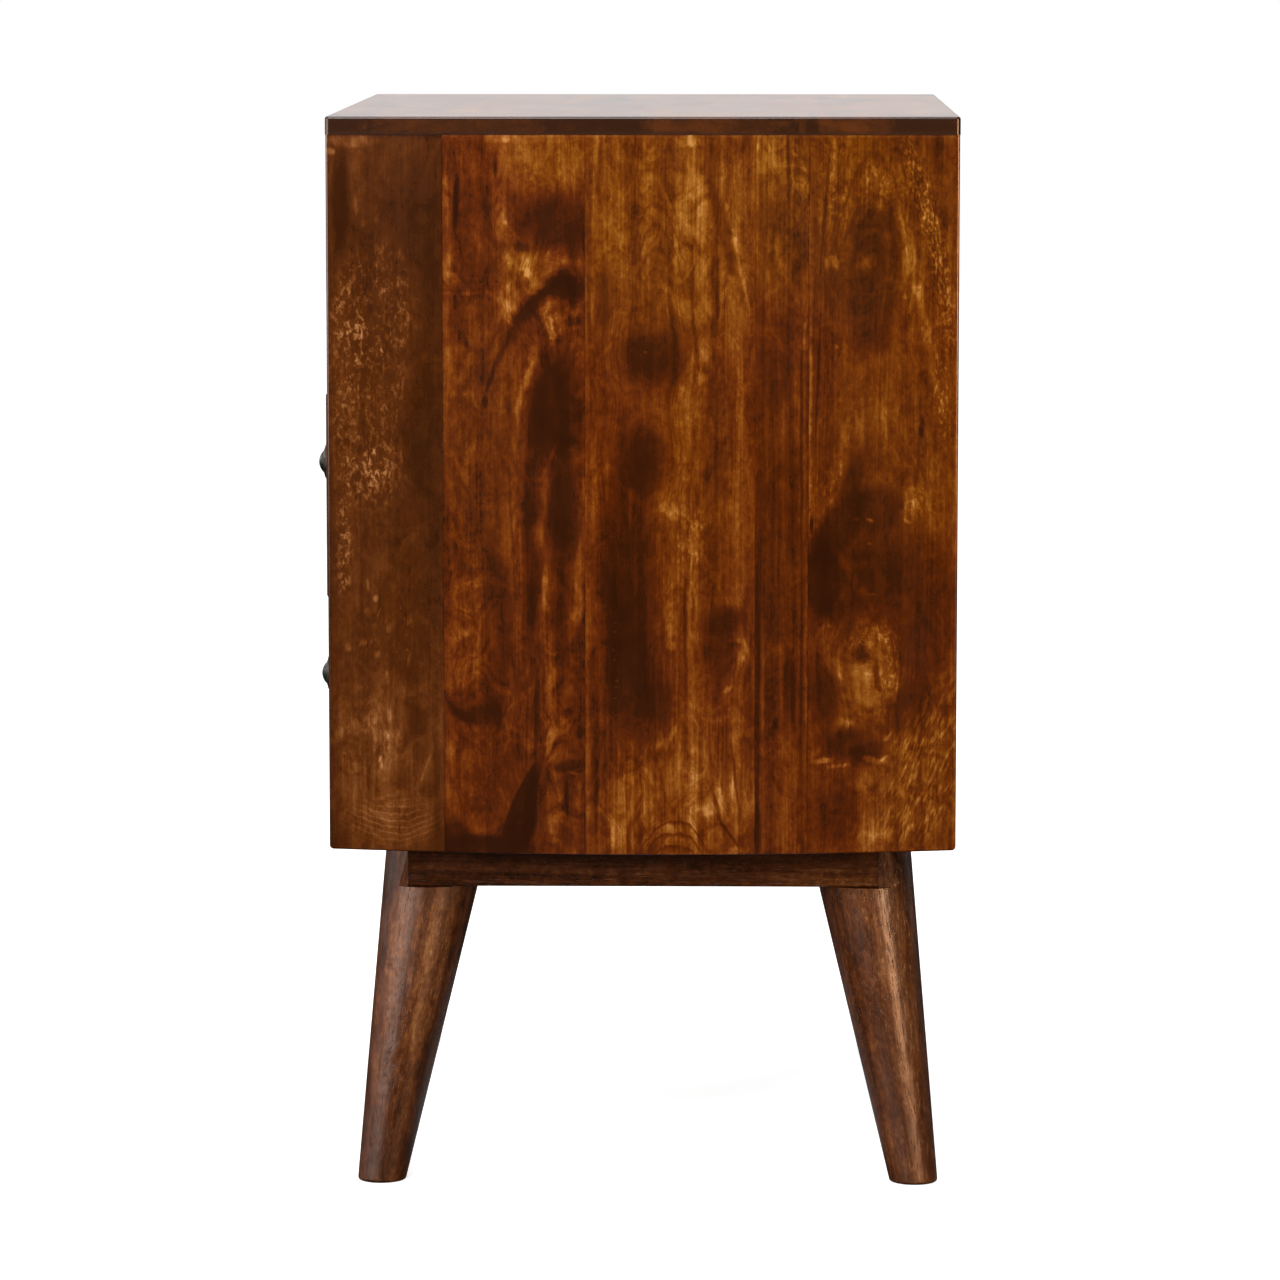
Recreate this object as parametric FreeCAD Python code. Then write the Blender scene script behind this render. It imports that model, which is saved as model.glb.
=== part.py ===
import FreeCAD, Part
import math
import os

os.makedirs("parts", exist_ok=True)

Vec = FreeCAD.Vector

# A wooden nightstand: an open niche over two drawers, on a splayed stand with four turned legs.
# Lengths are millimetres. X runs across the width, -Y points to the front and +Z up.
# The origin is on the floor, under the middle of the whole box with the knobs in it.
# A name that ends in share or shares is a part of the length that it is multiplied by.

# Case
case_width = 450.0
case_depth = 350.0
under_case_height = 194.4
side_thickness = 12.0
side_drop = 2.9
side_bow = 3.0
side_corner_radius = 2.4
side_arris = 1.2
right_seam_shares = [0.184, 0.409, 0.679, 0.763]
left_seam_shares = [0.221, 0.395, 0.602, 0.838]
top_thickness = 10.0
top_overhang = 0.3
top_corner_radius = 2.2
top_arris = 1.4
top_seam_shares = [0.238, 0.517, 0.746]
board_thickness = 10.0
board_arris = 0.6
niche_height = 132.8
drawer_opening_height = 116.4
housing_depth = 4.0
housing_stop = 9.0

# Back panel, let into rebates of the sides
back_thickness = 5.0
back_rebate = 6.0
back_nail_length = 18.0
back_nail_radius = 0.8
back_nail_head_radius = 1.9
back_nail_head_height = 0.7
back_nail_inset = 3.2
back_nail_height_shares = [0.05, 0.275, 0.5, 0.725, 0.95]
back_nail_width_shares = [0.2, 0.5, 0.8]

# Dowels that hold the top on the sides
top_dowel_radius = 3.0
top_dowel_length = 22.0
top_dowel_rise = 6.0
top_dowel_shares = [0.1, 0.55, 0.92]

# Stand: a frame of four rails, let into notches in the tops of the legs
leg_foot_inset_x = 17.5
leg_foot_inset_y = 24.4
leg_lean = 31.6
leg_foot_radius = 13.4
leg_top_radius = 29.0
leg_foot_arris = 1.6
right_leg_shift = 2.6
rail_thickness = 22.0
rail_height = 27.6
rail_face_inset_x = 23.5
rail_face_inset_y = 42.5
rail_arris = 1.0
rail_dowel_radius = 3.0
rail_dowel_length = 24.0
rail_dowel_height_shares = [0.28, 0.72]

# Countersunk screws of the stand
screw_radius = 2.0
screw_head_radius = 4.0
screw_head_height = 2.2
screw_tip_length = 4.0
shoulder_screw_length = 60.0
shoulder_screw_inset_x = 6.0
shoulder_screw_inset_y = 11.5
cheek_screw_length = 30.0
cheek_screw_inset = 16.0
stand_screw_length = 28.0
side_rail_screw_shares = [0.27, 0.73]
cross_rail_screw_shares = [0.25, 0.75]

# Drawers
drawer_rear_space = 13.0
drawer_front_thickness = 15.0
drawer_front_side_gap = 1.2
drawer_front_low_gap = 1.0
drawer_front_top_gap = 1.2
drawer_front_arris = 1.5
drawer_side_gap = 1.5
drawer_side_thickness = 10.0
drawer_side_height = 94.0
drawer_back_thickness = 10.0
drawer_back_drop = 8.0
drawer_arris = 0.8
drawer_bottom_thickness = 4.0
drawer_bottom_height = 8.0
drawer_groove_depth = 5.0
drawer_bottom_play = 0.5
drawer_running_gap = 0.3
drawer_dowel_radius = 2.5
drawer_dowel_length = 22.0
drawer_front_dowel_depth = 8.0
drawer_back_dowel_depth = 7.0
drawer_dowel_shares = [0.35, 0.8]
bottom_nail_radius = 0.7
bottom_nail_length = 14.0
bottom_nail_head_radius = 1.6
bottom_nail_head_height = 0.6
bottom_nail_shares = [0.1, 0.37, 0.63, 0.9]
upper_drawer_proud = 1.6
lower_drawer_proud = 0.6
drawer_stop_width = 26.0
drawer_stop_height = 16.0
drawer_stop_inset = 60.0
drawer_stop_gap = 0.3

# Knobs, turned with a foot, a neck, a rounded cap and a dome in the middle of the cap
knob_reach = 19.3
knob_foot_radius = 8.0
knob_foot_edge = 1.2
knob_foot_height = 2.4
knob_neck_radius = 4.6
knob_neck_height = 8.2
knob_cap_radius = 11.0
knob_rim_height = 13.2
knob_rim_round = 2.6
knob_ledge_radius = 7.4
knob_ledge_height = 16.2
knob_dome_radius = 6.8
knob_screw_radius = 2.0
knob_screw_depth = 9.0
knob_screw_head_radius = 4.0
knob_screw_head_height = 2.4
knob_screw_head_arris = 0.8

# Clearances and the overrun of cuts
hole_clearance = 0.1
overrun = 20.0

# Places that follow from the sizes
half_width = case_width / 2
inner_half_width = half_width - side_thickness
box_front_reach = upper_drawer_proud + knob_reach
middle_y = (box_front_reach - top_overhang) / 2
front_y = middle_y - case_depth / 2
back_y = middle_y + case_depth / 2
back_panel_y = back_y - back_thickness
bottom_board_z = under_case_height
lower_opening_z = bottom_board_z + board_thickness
divider_z = lower_opening_z + drawer_opening_height
upper_opening_z = divider_z + board_thickness
niche_board_z = upper_opening_z + drawer_opening_height
niche_z = niche_board_z + board_thickness
top_z = niche_z + niche_height
board_heights = [bottom_board_z, divider_z, niche_board_z]
rail_z = under_case_height - rail_height
rail_face_x = half_width - rail_face_inset_x
rail_face_y = case_depth / 2 - rail_face_inset_y
drawer_length = case_depth - back_thickness - drawer_rear_space
sides = (1, -1)


def block(low, high):
    # A box between two opposite corners.
    size = high - low
    return Part.makeBox(size.x, size.y, size.z, low)


def solid_of(shape):
    # The one solid that a cut or a fuse leaves.
    return shape.removeSplitter().Solids[0]


def drilled(wood, tools):
    # The piece with every hole, groove or notch that reaches it cut out.
    near = [tool for tool in tools if wood.BoundBox.intersect(tool.BoundBox)]
    return solid_of(wood.cut(near)) if near else wood


def rounded(solid, radius, picked):
    # The solid with the edges that picked chooses rounded.
    return solid.makeFillet(radius, [edge for edge in solid.Edges if picked(edge)])


def along(edge, axis):
    # Whether an edge is straight and runs along one axis, 0 to 2.
    if len(edge.Vertexes) != 2:
        return False
    run = edge.Vertexes[1].Point - edge.Vertexes[0].Point
    return edge.Length - abs(run[axis]) < hole_clearance


def mirrored(shape):
    return shape.mirror(Vec(0, 0, 0), Vec(1, 0, 0))


def cylinder(start, direction, length, radius):
    return Part.makeCylinder(radius, length, start, direction)


def save(name, pieces):
    # One STEP file for a node, from one solid or from a list of like solids.
    shape = Part.makeCompound(pieces) if isinstance(pieces, list) else pieces
    shape.exportStep(f"parts/{name}.step")


# Fasteners. Each takes grow, which a hole for it adds all round.

def screw(head, direction, length, grow=0):
    # A countersunk wood screw with its flat head centred at head.
    tip_start = head + direction * (length - screw_tip_length)
    cone = Part.makeCone(screw_head_radius + grow, screw_radius + grow, screw_head_height, head, direction)
    shank = cylinder(head, direction, length - screw_tip_length, screw_radius + grow)
    tip = Part.makeCone(screw_radius + grow, grow, screw_tip_length, tip_start, direction)
    return solid_of(cone.fuse([shank, tip]))


def nail(head, direction, length, radius, head_radius, head_height, grow=0):
    # A nail driven flush, with its head let into the face at head and its shank along direction.
    disc = cylinder(head, direction, head_height, head_radius + grow)
    return solid_of(disc.fuse(cylinder(head, direction, length, radius + grow)))


def back_nail(place, grow=0):
    return nail(place, Vec(0, -1, 0), back_nail_length, back_nail_radius,
                back_nail_head_radius, back_nail_head_height, grow)


def dowels(places, radius, length, grow=0):
    # Round pegs, each from a start and a direction.
    return [cylinder(start - direction * grow, direction, length + grow + grow, radius + grow)
            for start, direction in places]


# Places of the fasteners

def top_dowel_places():
    x = half_width - side_thickness / 2
    z = top_z + top_dowel_rise - top_dowel_length
    return [(Vec(side * x, front_y + share * case_depth, z), Vec(0, 0, 1))
            for side in sides for share in top_dowel_shares]


def back_nail_places():
    height = top_z - bottom_board_z
    edge_x = inner_half_width + back_nail_inset
    edges = [Vec(side * edge_x, back_y, bottom_board_z + share * height)
             for side in sides for share in back_nail_height_shares]
    boards = [Vec((share - 1 / 2) * case_width, back_y, z + board_thickness / 2)
              for z in board_heights for share in back_nail_width_shares]
    return edges + boards


def rail_dowel_places():
    x = rail_face_x - rail_thickness - rail_dowel_length / 2
    y = rail_face_y - rail_thickness / 2
    return [(Vec(side * x, middle_y + end * y, rail_z + share * rail_height), Vec(side, 0, 0))
            for side in sides for end in sides for share in rail_dowel_height_shares]


def shoulder_screw_places():
    # Down through the side rails into the shoulders of the legs.
    x = rail_face_x - shoulder_screw_inset_x
    y = rail_face_y - shoulder_screw_inset_y
    return [(Vec(side * x, middle_y + end * y, under_case_height), Vec(0, 0, -1))
            for side in sides for end in sides]


def cheek_screw_places():
    # From inside the frame through the front and rear rails into the cheeks of the legs.
    x = rail_face_x - rail_thickness - cheek_screw_inset
    y = rail_face_y - rail_thickness
    return [(Vec(side * x, middle_y + end * y, rail_z + rail_height / 2), Vec(0, end, 0))
            for side in sides for end in sides]


def stand_screw_places():
    # Down through the bottom board into the rails.
    x = rail_face_x - rail_thickness / 2
    y = rail_face_y - rail_thickness / 2
    side_rails = [(side * x, (share - 1 / 2) * 2 * rail_face_y)
                  for side in sides for share in side_rail_screw_shares]
    cross_rails = [((share - 1 / 2) * 2 * rail_face_x, end * y)
                   for end in sides for share in cross_rail_screw_shares]
    return [(Vec(along_x, middle_y + along_y, lower_opening_z), Vec(0, 0, -1))
            for along_x, along_y in side_rails + cross_rails]


def screws(places, length, grow=0):
    return [screw(head, direction, length, grow) for head, direction in places]


top_dowel_holes = dowels(top_dowel_places(), top_dowel_radius, top_dowel_length, hole_clearance)
back_nail_holes = [back_nail(place, hole_clearance) for place in back_nail_places()]
rail_dowel_holes = dowels(rail_dowel_places(), rail_dowel_radius, rail_dowel_length, hole_clearance)
shoulder_screw_holes = screws(shoulder_screw_places(), shoulder_screw_length, hole_clearance)
cheek_screw_holes = screws(cheek_screw_places(), cheek_screw_length, hole_clearance)
stand_screw_holes = screws(stand_screw_places(), stand_screw_length, hole_clearance)


# Case

def staves(panel, name, seam_shares):
    # Saws a panel into its glued staves, front to back, and saves each.
    box = panel.BoundBox
    cuts = [0] + seam_shares + [1]
    for number, (start, end) in enumerate(zip(cuts, cuts[1:]), 1):
        y0 = front_y + start * case_depth if start else box.YMin
        y1 = front_y + end * case_depth if end < 1 else box.YMax
        slab = block(Vec(box.XMin, y0, box.ZMin), Vec(box.XMax, y1, box.ZMax))
        save(f"{name}_{number}", solid_of(panel.common(slab)))


def side_panel():
    # The right side, whose lower edge bows down in the middle and is rounded at its corners.
    low = bottom_board_z - side_drop
    corners = [Vec(half_width, back_y, low), Vec(half_width, back_y, top_z),
               Vec(half_width, front_y, top_z), Vec(half_width, front_y, low)]
    lowest = Vec(half_width, middle_y, low - side_bow)
    edges = [Part.LineSegment(a, b).toShape() for a, b in zip(corners, corners[1:])]
    edges.append(Part.Arc(corners[-1], lowest, corners[0]).toShape())
    panel = Part.Face(Part.Wire(edges)).extrude(Vec(-side_thickness, 0, 0))
    panel = rounded(panel, side_corner_radius,
                    lambda edge: along(edge, 0) and edge.BoundBox.ZMax < bottom_board_z)
    panel = rounded(panel, side_arris,
                    lambda edge: (edge.BoundBox.XMin > half_width - hole_clearance
                                  and edge.BoundBox.ZMin < top_z - side_arris))
    housing_end = inner_half_width + housing_depth
    housings = [block(Vec(inner_half_width - overrun, front_y + housing_stop, z),
                      Vec(housing_end, back_panel_y + hole_clearance, z + board_thickness))
                for z in board_heights]
    rebate = block(Vec(inner_half_width - overrun, back_panel_y, bottom_board_z),
                   Vec(inner_half_width + back_rebate, back_y + overrun, top_z + overrun))
    return drilled(panel, housings + [rebate] + top_dowel_holes + back_nail_holes)


def top_panel():
    low = Vec(-half_width - top_overhang, front_y - top_overhang, top_z)
    high = Vec(half_width + top_overhang, back_y + top_overhang, top_z + top_thickness)
    panel = rounded(block(low, high), top_corner_radius, lambda edge: along(edge, 2))
    panel = rounded(panel, top_arris,
                    lambda edge: edge.BoundBox.ZMin > top_z + top_thickness - hole_clearance)
    return drilled(panel, top_dowel_holes)


def housed_board(z):
    # A board between the sides, with a tongue at each end in the housing of that side.
    body = block(Vec(-inner_half_width, front_y, z),
                 Vec(inner_half_width, back_panel_y, z + board_thickness))
    body = rounded(body, board_arris,
                   lambda edge: along(edge, 0) and edge.BoundBox.YMax < front_y + hole_clearance)
    tongues = block(Vec(-inner_half_width - housing_depth, front_y + housing_stop, z),
                    Vec(inner_half_width + housing_depth, back_panel_y, z + board_thickness))
    return drilled(solid_of(body.fuse(tongues)), back_nail_holes + stand_screw_holes)


def back_panel():
    reach = inner_half_width + back_rebate
    panel = block(Vec(-reach, back_panel_y, bottom_board_z), Vec(reach, back_y, top_z))
    return drilled(panel, back_nail_holes)


def drawer_stops(floor_z, proud):
    # Two blocks on the floor of the drawer's opening, against the back panel.
    start = front_y - proud + drawer_length + drawer_stop_gap
    return [block(Vec(side * drawer_stop_inset - drawer_stop_width / 2, start, floor_z),
                  Vec(side * drawer_stop_inset + drawer_stop_width / 2, back_panel_y,
                      floor_z + drawer_stop_height))
            for side in sides]


def build_case():
    right = side_panel()
    staves(right, "right_side_stave", right_seam_shares)
    staves(mirrored(right), "left_side_stave", left_seam_shares)
    staves(top_panel(), "top_stave", top_seam_shares)
    for name, z in zip(("bottom_board", "divider_board", "niche_floor_board"), board_heights):
        save(name, housed_board(z))
    save("back_panel", back_panel())
    save("back_panel_nails", [back_nail(place) for place in back_nail_places()])
    save("top_dowels", dowels(top_dowel_places(), top_dowel_radius, top_dowel_length))
    save("upper_drawer_stops", drawer_stops(upper_opening_z, upper_drawer_proud))
    save("lower_drawer_stops", drawer_stops(lower_opening_z, lower_drawer_proud))


# Stand

def leg(side, end):
    # A tapered turned leg that leans in both ways. Its top is notched round the corner of the
    # rail frame: the frame stands on the shoulder, and a cheek laps the front or rear rail.
    # Outside, the cheek is cut flat and flush with the side rail, down to the same shoulder.
    # The right legs stand a little further back than the left ones.
    shift = right_leg_shift if side > 0 else 0
    foot = Vec(side * (half_width - leg_foot_inset_x),
               middle_y + shift + end * (case_depth / 2 - leg_foot_inset_y), 0)
    axis = Vec(-side * leg_lean, -end * leg_lean, under_case_height)
    length = axis.Length
    axis.normalize()
    taper = (leg_top_radius - leg_foot_radius) / length
    cone = Part.makeCone(leg_foot_radius - taper * overrun, leg_top_radius + taper * overrun,
                         length + 2 * overrun, foot - axis * overrun, axis)
    reach = Vec(case_width, case_depth, 0)
    level = block(foot - reach, foot + reach + Vec(0, 0, under_case_height))
    turned = rounded(solid_of(cone.common(level)), leg_foot_arris,
                     lambda edge: edge.BoundBox.ZMax < hole_clearance)
    cut_top = under_case_height + overrun
    notch = block(Vec(-case_width, middle_y - rail_face_y, rail_z),
                  Vec(case_width, middle_y + rail_face_y, cut_top))
    flat_start, flat_end = sorted((side * rail_face_x, side * case_width))
    flat = block(Vec(flat_start, middle_y - case_depth, rail_z),
                 Vec(flat_end, middle_y + case_depth, cut_top))
    return drilled(turned, [notch, flat] + shoulder_screw_holes + cheek_screw_holes)


def side_rail(side):
    inner = side * (rail_face_x - rail_thickness)
    outer = side * rail_face_x
    rail = block(Vec(min(inner, outer), middle_y - rail_face_y, rail_z),
                 Vec(max(inner, outer), middle_y + rail_face_y, under_case_height))
    rail = rounded(rail, rail_arris,
                   lambda edge: along(edge, 1) and edge.BoundBox.ZMax < rail_z + hole_clearance)
    return drilled(rail, rail_dowel_holes + shoulder_screw_holes + stand_screw_holes)


def cross_rail(end):
    # The front rail, end -1, or the rear rail, end 1, between the side rails.
    reach = rail_face_x - rail_thickness
    inner = middle_y + end * (rail_face_y - rail_thickness)
    outer = middle_y + end * rail_face_y
    rail = block(Vec(-reach, min(inner, outer), rail_z), Vec(reach, max(inner, outer), under_case_height))
    rail = rounded(rail, rail_arris,
                   lambda edge: along(edge, 0) and edge.BoundBox.ZMax < rail_z + hole_clearance)
    return drilled(rail, rail_dowel_holes + cheek_screw_holes + stand_screw_holes)


def build_stand():
    for end_name, end in (("front", -1), ("rear", 1)):
        for side_name, side in (("right", 1), ("left", -1)):
            save(f"{end_name}_{side_name}_leg", leg(side, end))
        save(f"{end_name}_rail", cross_rail(end))
    save("right_rail", side_rail(1))
    save("left_rail", side_rail(-1))
    save("rail_dowels", dowels(rail_dowel_places(), rail_dowel_radius, rail_dowel_length))
    save("leg_shoulder_screws", screws(shoulder_screw_places(), shoulder_screw_length))
    save("leg_cheek_screws", screws(cheek_screw_places(), cheek_screw_length))
    save("stand_screws", screws(stand_screw_places(), stand_screw_length))


# Drawers. A drawer is built from the height of its opening's floor and from how far its front
# stands proud of the case.

def knob(face):
    # A turned knob on an axis along -Y, with its foot on the drawer's face.
    def at(radius, reach):
        return face + Vec(radius, -reach, 0)
    round_top = knob_rim_height + knob_rim_round
    round_centre = knob_cap_radius - knob_rim_round
    slant = math.sin(math.pi / 4)
    shoulder = at(round_centre + slant * knob_rim_round, knob_rim_height + slant * knob_rim_round)
    dome_height = knob_reach - knob_ledge_height
    dome_sphere = (knob_dome_radius ** 2 + dome_height ** 2) / (2 * dome_height)
    half_turn = math.asin(knob_dome_radius / dome_sphere) / 2
    dome = at(dome_sphere * math.sin(half_turn), knob_reach - dome_sphere * (1 - math.cos(half_turn)))
    edges = [
        Part.LineSegment(at(0, 0), at(knob_foot_radius, 0)),
        Part.LineSegment(at(knob_foot_radius, 0), at(knob_foot_radius, knob_foot_edge)),
        Part.LineSegment(at(knob_foot_radius, knob_foot_edge), at(knob_neck_radius, knob_foot_height)),
        Part.LineSegment(at(knob_neck_radius, knob_foot_height), at(knob_neck_radius, knob_neck_height)),
        Part.LineSegment(at(knob_neck_radius, knob_neck_height), at(knob_cap_radius, knob_rim_height)),
        Part.Arc(at(knob_cap_radius, knob_rim_height), shoulder, at(round_centre, round_top)),
        Part.LineSegment(at(round_centre, round_top), at(knob_ledge_radius, knob_ledge_height)),
        Part.LineSegment(at(knob_ledge_radius, knob_ledge_height), at(knob_dome_radius, knob_ledge_height)),
        Part.Arc(at(knob_dome_radius, knob_ledge_height), dome, at(0, knob_reach)),
        Part.LineSegment(at(0, knob_reach), at(0, 0)),
    ]
    profile = Part.Face(Part.Wire([edge.toShape() for edge in edges]))
    return profile.revolve(face, Vec(0, 1, 0), 360).Solids[0]


def knob_screw(face, grow=0):
    # A machine screw from inside the drawer through its front into the knob.
    inner = face + Vec(0, drawer_front_thickness, 0)
    length = drawer_front_thickness + knob_screw_depth + grow
    shank = cylinder(inner, Vec(0, -1, 0), length, knob_screw_radius + grow)
    head = cylinder(inner, Vec(0, 1, 0), knob_screw_head_height, knob_screw_head_radius)
    head = rounded(head, knob_screw_head_arris,
                   lambda edge: edge.BoundBox.YMin > inner.y + knob_screw_head_height - hole_clearance)
    return solid_of(head.fuse(shank))


def build_drawer(name, knob_name, floor_z, proud):
    face_y = front_y - proud
    rear_y = face_y + drawer_length
    box_y = face_y + drawer_front_thickness
    low_z = floor_z + drawer_running_gap
    side_top = low_z + drawer_side_height
    back_top = side_top - drawer_back_drop
    panel_z = low_z + drawer_bottom_height
    panel_top = panel_z + drawer_bottom_thickness
    front_low = floor_z + drawer_front_low_gap
    front_top = floor_z + drawer_opening_height - drawer_front_top_gap
    front_reach = inner_half_width - drawer_front_side_gap
    outer = inner_half_width - drawer_side_gap
    inner = outer - drawer_side_thickness
    drawer_back_y = rear_y - drawer_back_thickness
    knob_face = Vec(0, face_y, (front_low + front_top) / 2)

    front_pegs = [(Vec(side * (outer - drawer_side_thickness / 2), box_y - drawer_front_dowel_depth,
                       low_z + share * drawer_side_height), Vec(0, 1, 0))
                  for side in sides for share in drawer_dowel_shares]
    back_pegs = [(Vec(side * (inner + drawer_back_dowel_depth), rear_y - drawer_back_thickness / 2,
                      low_z + share * drawer_side_height), Vec(-side, 0, 0))
                 for side in sides for share in drawer_dowel_shares]
    pegs = front_pegs + back_pegs
    peg_holes = dowels(pegs, drawer_dowel_radius, drawer_dowel_length, hole_clearance)
    nail_heads = [Vec((share - 1 / 2) * 2 * inner, rear_y - drawer_back_thickness / 2, panel_z)
                  for share in bottom_nail_shares]
    nails, nail_holes = (
        [nail(head, Vec(0, 0, 1), bottom_nail_length, bottom_nail_radius,
              bottom_nail_head_radius, bottom_nail_head_height, grow) for head in nail_heads]
        for grow in (0, hole_clearance))

    groove = block(Vec(-inner - drawer_groove_depth, box_y - drawer_groove_depth, panel_z),
                   Vec(inner + drawer_groove_depth, rear_y + overrun, panel_top))

    front = block(Vec(-front_reach, face_y, front_low), Vec(front_reach, box_y, front_top))
    front = rounded(front, drawer_front_arris, lambda edge: edge.BoundBox.YMax < face_y + hole_clearance)
    save(f"{name}_front", drilled(front, [groove, knob_screw(knob_face, hole_clearance)] + peg_holes))

    wall = block(Vec(inner, box_y, low_z), Vec(outer, rear_y, side_top))
    wall = rounded(wall, drawer_arris,
                   lambda edge: along(edge, 1) and edge.BoundBox.ZMin > side_top - hole_clearance)
    save(f"{name}_right_side", drilled(wall, [groove] + peg_holes))
    save(f"{name}_left_side", drilled(mirrored(wall), [groove] + peg_holes))

    back = block(Vec(-inner, drawer_back_y, panel_top), Vec(inner, rear_y, back_top))
    back = rounded(back, drawer_arris,
                   lambda edge: along(edge, 0) and edge.BoundBox.ZMin > back_top - hole_clearance)
    save(f"{name}_back", drilled(back, nail_holes + peg_holes))

    reach = inner + drawer_groove_depth - drawer_bottom_play
    panel_y = box_y - drawer_groove_depth + drawer_bottom_play
    panel = block(Vec(-reach, panel_y, panel_z), Vec(reach, rear_y, panel_top))
    save(f"{name}_bottom", drilled(panel, nail_holes))
    save(f"{name}_bottom_nails", nails)
    save(f"{name}_dowels", dowels(pegs, drawer_dowel_radius, drawer_dowel_length))

    save(knob_name, drilled(knob(knob_face), [knob_screw(knob_face, hole_clearance)]))
    save(f"{knob_name}_screw", knob_screw(knob_face))


build_case()
build_stand()
build_drawer("upper_drawer", "upper_knob", upper_opening_z, upper_drawer_proud)
build_drawer("lower_drawer", "lower_knob", lower_opening_z, lower_drawer_proud)
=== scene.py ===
import math
import random

import bpy
from mathutils import Matrix, Vector


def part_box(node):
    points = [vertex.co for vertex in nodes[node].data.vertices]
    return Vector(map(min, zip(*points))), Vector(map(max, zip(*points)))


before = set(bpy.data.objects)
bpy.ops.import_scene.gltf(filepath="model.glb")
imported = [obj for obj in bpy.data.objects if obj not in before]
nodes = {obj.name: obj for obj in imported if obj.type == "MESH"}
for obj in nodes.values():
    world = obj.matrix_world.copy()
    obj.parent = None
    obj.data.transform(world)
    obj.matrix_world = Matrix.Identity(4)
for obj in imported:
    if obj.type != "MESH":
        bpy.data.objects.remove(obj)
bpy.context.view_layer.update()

mm = 0.001
print("frame loaded:", len(nodes), "pieces")


# Shader nodes: the helpers that every material is made with

def feed(tree, socket, value):
    if isinstance(value, bpy.types.NodeSocket):
        tree.links.new(value, socket)
    else:
        socket.default_value = value


def addNode(tree, kind, inputs=None, **settings):
    node = tree.nodes.new("ShaderNode" + kind)
    for key, value in settings.items():
        setattr(node, key, value)
    for key, value in (inputs or {}).items():
        feed(tree, node.inputs[key], value)
    return node


def calc(tree, operation, *values, clamp=False):
    return addNode(tree, "Math", dict(enumerate(values)), operation=operation, use_clamp=clamp).outputs[0]


def plus(tree, first, second):
    return calc(tree, "ADD", first, second)


def minus(tree, first, second):
    return calc(tree, "SUBTRACT", first, second)


def times(tree, first, second):
    return calc(tree, "MULTIPLY", first, second)


def addShare(tree, amount, share, start, clamp=False):
    return calc(tree, "MULTIPLY_ADD", amount, share, start, clamp=clamp)


def calcVector(tree, operation, *values):
    node = addNode(tree, "VectorMath", dict(enumerate(values)), operation=operation)
    return node.outputs["Value" if operation == "LENGTH" else "Vector"]


def scaleVector(tree, vector, amount):
    node = addNode(tree, "VectorMath", {"Vector": vector, "Scale": amount}, operation="SCALE")
    return node.outputs["Vector"]


def leanVector(tree, vector, angle):
    # turned in the plane of a board's face
    node = addNode(tree, "VectorRotate", {"Vector": vector, "Angle": angle}, rotation_type="Y_AXIS")
    return node.outputs["Vector"]


def ramp(tree, value, low, high, start=0.0, end=1.0):
    inputs = {"Value": value, "From Min": low, "From Max": high, "To Min": start, "To Max": end}
    return addNode(tree, "MapRange", inputs, interpolation_type="SMOOTHSTEP").outputs["Result"]


def noise(tree, point, stretch, detail=2.0, rough=0.5, warp=0.0, output="Fac"):
    # stretch is how many lumps to the metre along each axis
    vector = calcVector(tree, "MULTIPLY", point, stretch)
    inputs = {"Vector": vector, "Scale": 1.0, "Detail": detail, "Roughness": rough, "Distortion": warp}
    return addNode(tree, "TexNoise", inputs).outputs[output]


def swing(tree, value, amount):
    # a 0..1 noise turned into a change of plus or minus amount
    return times(tree, minus(tree, value, 0.5), times(tree, amount, 2.0))


def stray(tree, point, reach, *texture):
    # a random shift of up to half of reach either way along each axis
    field = calcVector(tree, "SUBTRACT", noise(tree, point, *texture, output="Color"), (0.5, 0.5, 0.5))
    return calcVector(tree, "MULTIPLY", field, reach)


def startGroup(name, inputs, outputs):
    tree = bpy.data.node_groups.new(name, "ShaderNodeTree")
    for label, value in inputs.items():
        kind = "NodeSocketVector" if isinstance(value, tuple) else "NodeSocketFloat"
        tree.interface.new_socket(label, in_out="INPUT", socket_type=kind).default_value = value
    for label, kind in outputs.items():
        tree.interface.new_socket(label, in_out="OUTPUT", socket_type="NodeSocket" + kind)
    return tree, tree.nodes.new("NodeGroupInput").outputs, tree.nodes.new("NodeGroupOutput").inputs


def useGroup(tree, group, inputs):
    node = tree.nodes.new("ShaderNodeGroup")
    node.node_tree = group
    for label, value in inputs.items():
        feed(tree, node.inputs[label], value)
    return node.outputs


def plainColour(red, green, blue):
    # 0..255 screen values to the renderer's linear colour
    def linear(value):
        share = value / 255
        return share / 12.92 if share <= 0.04045 else ((share + 0.055) / 1.055) ** 2.4
    return (linear(red), linear(green), linear(blue), 1.0)


# Shared effects. In all of them Point is in board space: X across the grain,
# Y through the thickness, Z along the grain.
origin = (0.0, 0.0, 0.0)

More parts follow.
